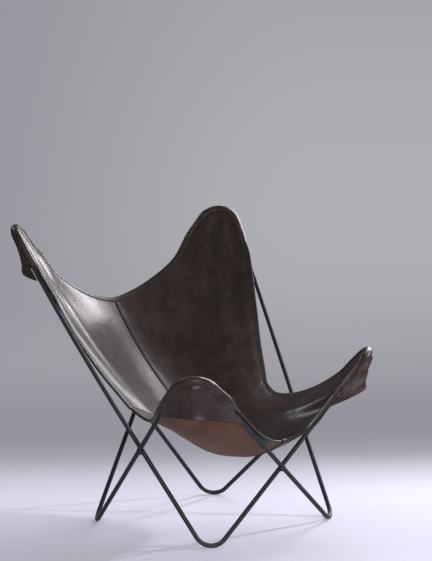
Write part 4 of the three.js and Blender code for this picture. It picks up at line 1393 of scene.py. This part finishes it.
class CHAIR_OT_seams(Operator):
    """Lap and stitch the seams, with a strip under each"""

    bl_idname = "chair.seams"
    bl_label = "Seams"
    bl_options = {"REGISTER", "UNDO"}

    def execute(self, context):
        sling = context.scene.chair_sling
        finishes = context.scene.chair_finishes
        surface = the_sling(context)
        level = (surface.grid, surface.normals)
        turned = [grid.swapaxes(0, 1) for grid in level]
        middle = PANEL_CELLS
        onward = slice(middle, None)
        backward = slice(middle, None, -1)
        seams = (
            ("centre", turned, slice(None), onward, backward),
            ("left", level, slice(middle + 1, None), backward, onward),
            ("right", level, slice(None, middle), backward, onward),
        )
        for name, grids, lines, ahead, behind in seams:
            sides = {
                "ahead": [grid[lines, ahead] for grid in grids],
                "behind": [grid[lines, behind] for grid in grids],
            }
            self.add_seam(context, name, sides, sling, finishes)
        return {"FINISHED"}

    def add_seam(self, context, name, sides, sling, finishes):
        """A lap on the ahead side of the seam, with two rows of stitches through it, and a strip under
        both sides, with its own two rows."""
        half = sling.leather / 2
        points, normals = self.stacked(self.rows(sides, LAP_SHARES, sling.lap_width))
        upper = points + normals * (half + sling.lap * np.array(LAP_RISES))[None, :, None]
        lower = points + normals * half * LAP_BED_SHARE
        lap = np.concatenate([upper, lower[:, ::-1]], axis=1)
        add_trim(f"{name}_seam_lap", lap, sling, top_leather(finishes), "leather")
        rows = self.rows(sides, LAP_STITCH_SHARES, sling.lap_width)
        self.sew(context, f"{name}_seam_stitches", rows, half + sling.lap)
        points, normals = self.stacked(self.rows(sides, STRIP_SHARES, sling.strip_width / 2))
        drop = half + sling.touch_gap + sling.strip / 2
        piece = sheet_piece(f"{name}_strip", points - normals * drop, normals, sling.strip)
        finish_piece(piece, [underside_leather(finishes)] * 2, "seam_strip", f"{name}_seam_strip")
        rows = self.rows(sides, STRIP_STITCH_SHARES, sling.strip_width / 2)
        self.sew(context, f"{name}_strip_stitches", rows, -(half + sling.touch_gap + sling.strip))

    @staticmethod
    def rows(sides, shares, width):
        """Rows of points at shares of a width from the seam, each with its normals. A row with a
        negative share is behind the seam."""
        return [
            beside_edge(*sides["behind" if share < 0 else "ahead"], abs(share) * width) for share in shares
        ]

    @staticmethod
    def stacked(rows):
        """The points and the normals of some rows, each as a grid of lines by rows."""
        return [np.stack(values, axis=1) for values in zip(*rows)]

    @staticmethod
    def sew(context, name, rows, height):
        """Stitches along each row, at a height over the middle of the leather, or under it where that is
        negative."""
        for number, (row, normals) in enumerate(rows):
            up = normals * math.copysign(1, height)
            add_stitches(context, f"{name}_{number + 1}", row + normals * height, up)


def placed(right, up, back, where):
    """The matrix that turns an object's axes to the three given ones and moves it to a place."""
    matrix = np.eye(4)
    matrix[:3, :3] = np.stack([right, up, back], axis=1)
    matrix[:3, 3] = where
    return Matrix(matrix.tolist())


class CHAIR_OT_stage(Operator):
    """Set up the floor, the backdrop, the lights and the camera"""

    bl_idname = "chair.stage"
    bl_label = "Stage"
    bl_options = {"REGISTER", "UNDO"}

    def execute(self, context):
        stage = context.scene.chair_stage
        self.add_camera(context, stage)
        self.add_backdrop(stage)
        self.add_lights(context)
        context.scene.view_settings.view_transform = "Standard"
        return {"FINISHED"}

    @staticmethod
    def add_camera(context, stage):
        """The camera's axes: back from its turn and tilt, right level with the floor, both rolled."""
        back = np.array([
            math.sin(stage.turn) * math.cos(stage.tilt),
            -math.cos(stage.turn) * math.cos(stage.tilt),
            math.sin(stage.tilt),
        ])
        right = np.array([math.cos(stage.turn), math.sin(stage.turn), 0])
        up = np.cross(back, right)
        rolled_right = math.cos(stage.roll) * right + math.sin(stage.roll) * up
        rolled_up = math.cos(stage.roll) * up - math.sin(stage.roll) * right
        camera = bpy.data.objects.new("camera", bpy.data.cameras.new("camera"))
        camera.data.lens = stage.lens
        camera.data.sensor_width = SENSOR_WIDTH
        camera.matrix_world = placed(rolled_right, rolled_up, back, stage.camera)
        context.scene.collection.objects.link(camera)
        context.scene.camera = camera

    @staticmethod
    def add_backdrop(stage):
        """A floor that turns up into a wall behind the chair: a level line, a quarter circle and an
        upright line, carried sideways."""
        ahead = np.array([-math.sin(stage.turn), math.cos(stage.turn), 0])
        right = np.array([math.cos(stage.turn), math.sin(stage.turn), 0])
        angle = np.linspace(0, math.pi / 2, STAGE_STEPS)
        wall = COVE_START + COVE_RADIUS
        distance = np.concatenate([FLOOR_ROWS, COVE_START + COVE_RADIUS * np.sin(angle), [wall]])
        height = np.concatenate([[0, 0], COVE_RADIUS * (1 - np.cos(angle)), [WALL_TOP]])
        profile = distance[:, None] * ahead + height[:, None] * np.array([0, 0, 1])
        beside = np.linspace(-BACKDROP_HALF_WIDTH, BACKDROP_HALF_WIDTH, BACKDROP_COLUMNS)
        points = beside[:, None, None] * right + profile
        rows = quads(len(beside), len(profile))
        mesh = bpy.data.meshes.new("backdrop")
        mesh.from_pydata(points.reshape(-1, 3).tolist(), [], rows.tolist())
        mesh.shade_smooth()
        mesh.update()
        if mesh.polygons[0].normal.z < 0:
            mesh.flip_normals()
        backdrop = bpy.data.objects.new("backdrop", mesh)
        bpy.context.scene.collection.objects.link(backdrop)
        add_attribute(backdrop, "along", np.tile(travelled(profile) + FLOOR_ROWS[0], len(beside)))
        add_attribute(backdrop, "beside", np.repeat(beside, len(profile)))
        backdrop.data.materials.append(once("backdrop_paper", paint_backdrop, stage))
        backdrop.visible_shadow = False

    @staticmethod
    def add_lights(context):
        """A tall soft lamp at the sitter's left for the sheen, a small one overhead behind, two small ones
        at the left in one place, of which the one for the thin shadows isn't mirrored in the leather, a
        wide soft one beside the camera, and a grey sky."""
        lamps = (
            ("left_softbox", (2.65, 0.66, 2.1), (0, 0, 0.5), (1.2, 2.5), 110),
            ("rear_lamp", (-0.3, 2.6, 3.0), (0, 0, 0.3), (0.2, 0.2), 15),
            ("side_lamp", (2.75, -1.6, 2.0), (0, 0, 0.3), (0.2, 0.2), 44),
            ("front_softbox", (-2.4, -3.9, 2.2), (0, 0, 0.35), (2.6, 1.6), 86),
            ("shadow_lamp", (2.75, -1.6, 2.0), (0, 0, 0.3), (0.1, 0.1), 50),
        )
        for name, where, towards, (width, height), power in lamps:
            data = bpy.data.lights.new(name, "AREA")
            data.shape = "RECTANGLE"
            data.size = width
            data.size_y = height
            data.energy = power
            data.color = LAMP_COLOUR
            lamp = bpy.data.objects.new(name, data)
            lamp.visible_glossy = name != "shadow_lamp"
            back = unit(np.array(where, float) - np.array(towards, float))
            right = unit(np.cross(NEARLY_UP, back))
            lamp.matrix_world = placed(right, np.cross(back, right), back, where)
            context.scene.collection.objects.link(lamp)
        world = bpy.data.worlds.new("grey_sky")
        world.use_nodes = True
        sky = world.node_tree.nodes["Background"]
        sky.inputs["Color"].default_value = opaque(SKY_COLOUR)
        sky.inputs["Strength"].default_value = SKY_STRENGTH
        context.scene.world = world


class CHAIR_PT_panel(Panel):
    """Sizes, colours and steps of the chair"""

    bl_idname = "CHAIR_PT_panel"
    bl_label = "Butterfly sling chair"
    bl_space_type = "VIEW_3D"
    bl_region_type = "UI"
    bl_category = "Chair"

    def draw(self, context):
        for group in SETTINGS:
            box = self.layout.box()
            settings = getattr(context.scene, group)
            for name in settings.__annotations__:
                box.prop(settings, name)
        for step in STEPS:
            self.layout.operator(step.bl_idname)


STEPS = (
    CHAIR_OT_rods,
    CHAIR_OT_welds,
    CHAIR_OT_panels,
    CHAIR_OT_pockets,
    CHAIR_OT_bindings,
    CHAIR_OT_seams,
    CHAIR_OT_stage,
)
SETTINGS = {
    "chair_frame": FrameSizes,
    "chair_sling": SlingSizes,
    "chair_finishes": Finishes,
    "chair_stage": StageSettings,
}


def register():
    """Registers the settings, the steps and the panel."""
    for name, group in SETTINGS.items():
        bpy.utils.register_class(group)
        setattr(bpy.types.Scene, name, PointerProperty(type=group))
    for step in (*STEPS, CHAIR_PT_panel):
        bpy.utils.register_class(step)


def unregister():
    """Takes them away again."""
    for step in (CHAIR_PT_panel, *STEPS[::-1]):
        bpy.utils.unregister_class(step)
    for name, group in SETTINGS.items():
        delattr(bpy.types.Scene, name)
        bpy.utils.unregister_class(group)


def main():
    """Registers the add-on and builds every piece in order."""
    register()
    bpy.ops.chair.rods()
    bpy.ops.chair.welds()
    bpy.ops.chair.panels()
    bpy.ops.chair.pockets()
    bpy.ops.chair.bindings()
    bpy.ops.chair.seams()
    bpy.ops.chair.stage()


if __name__ == "__main__":
    main()
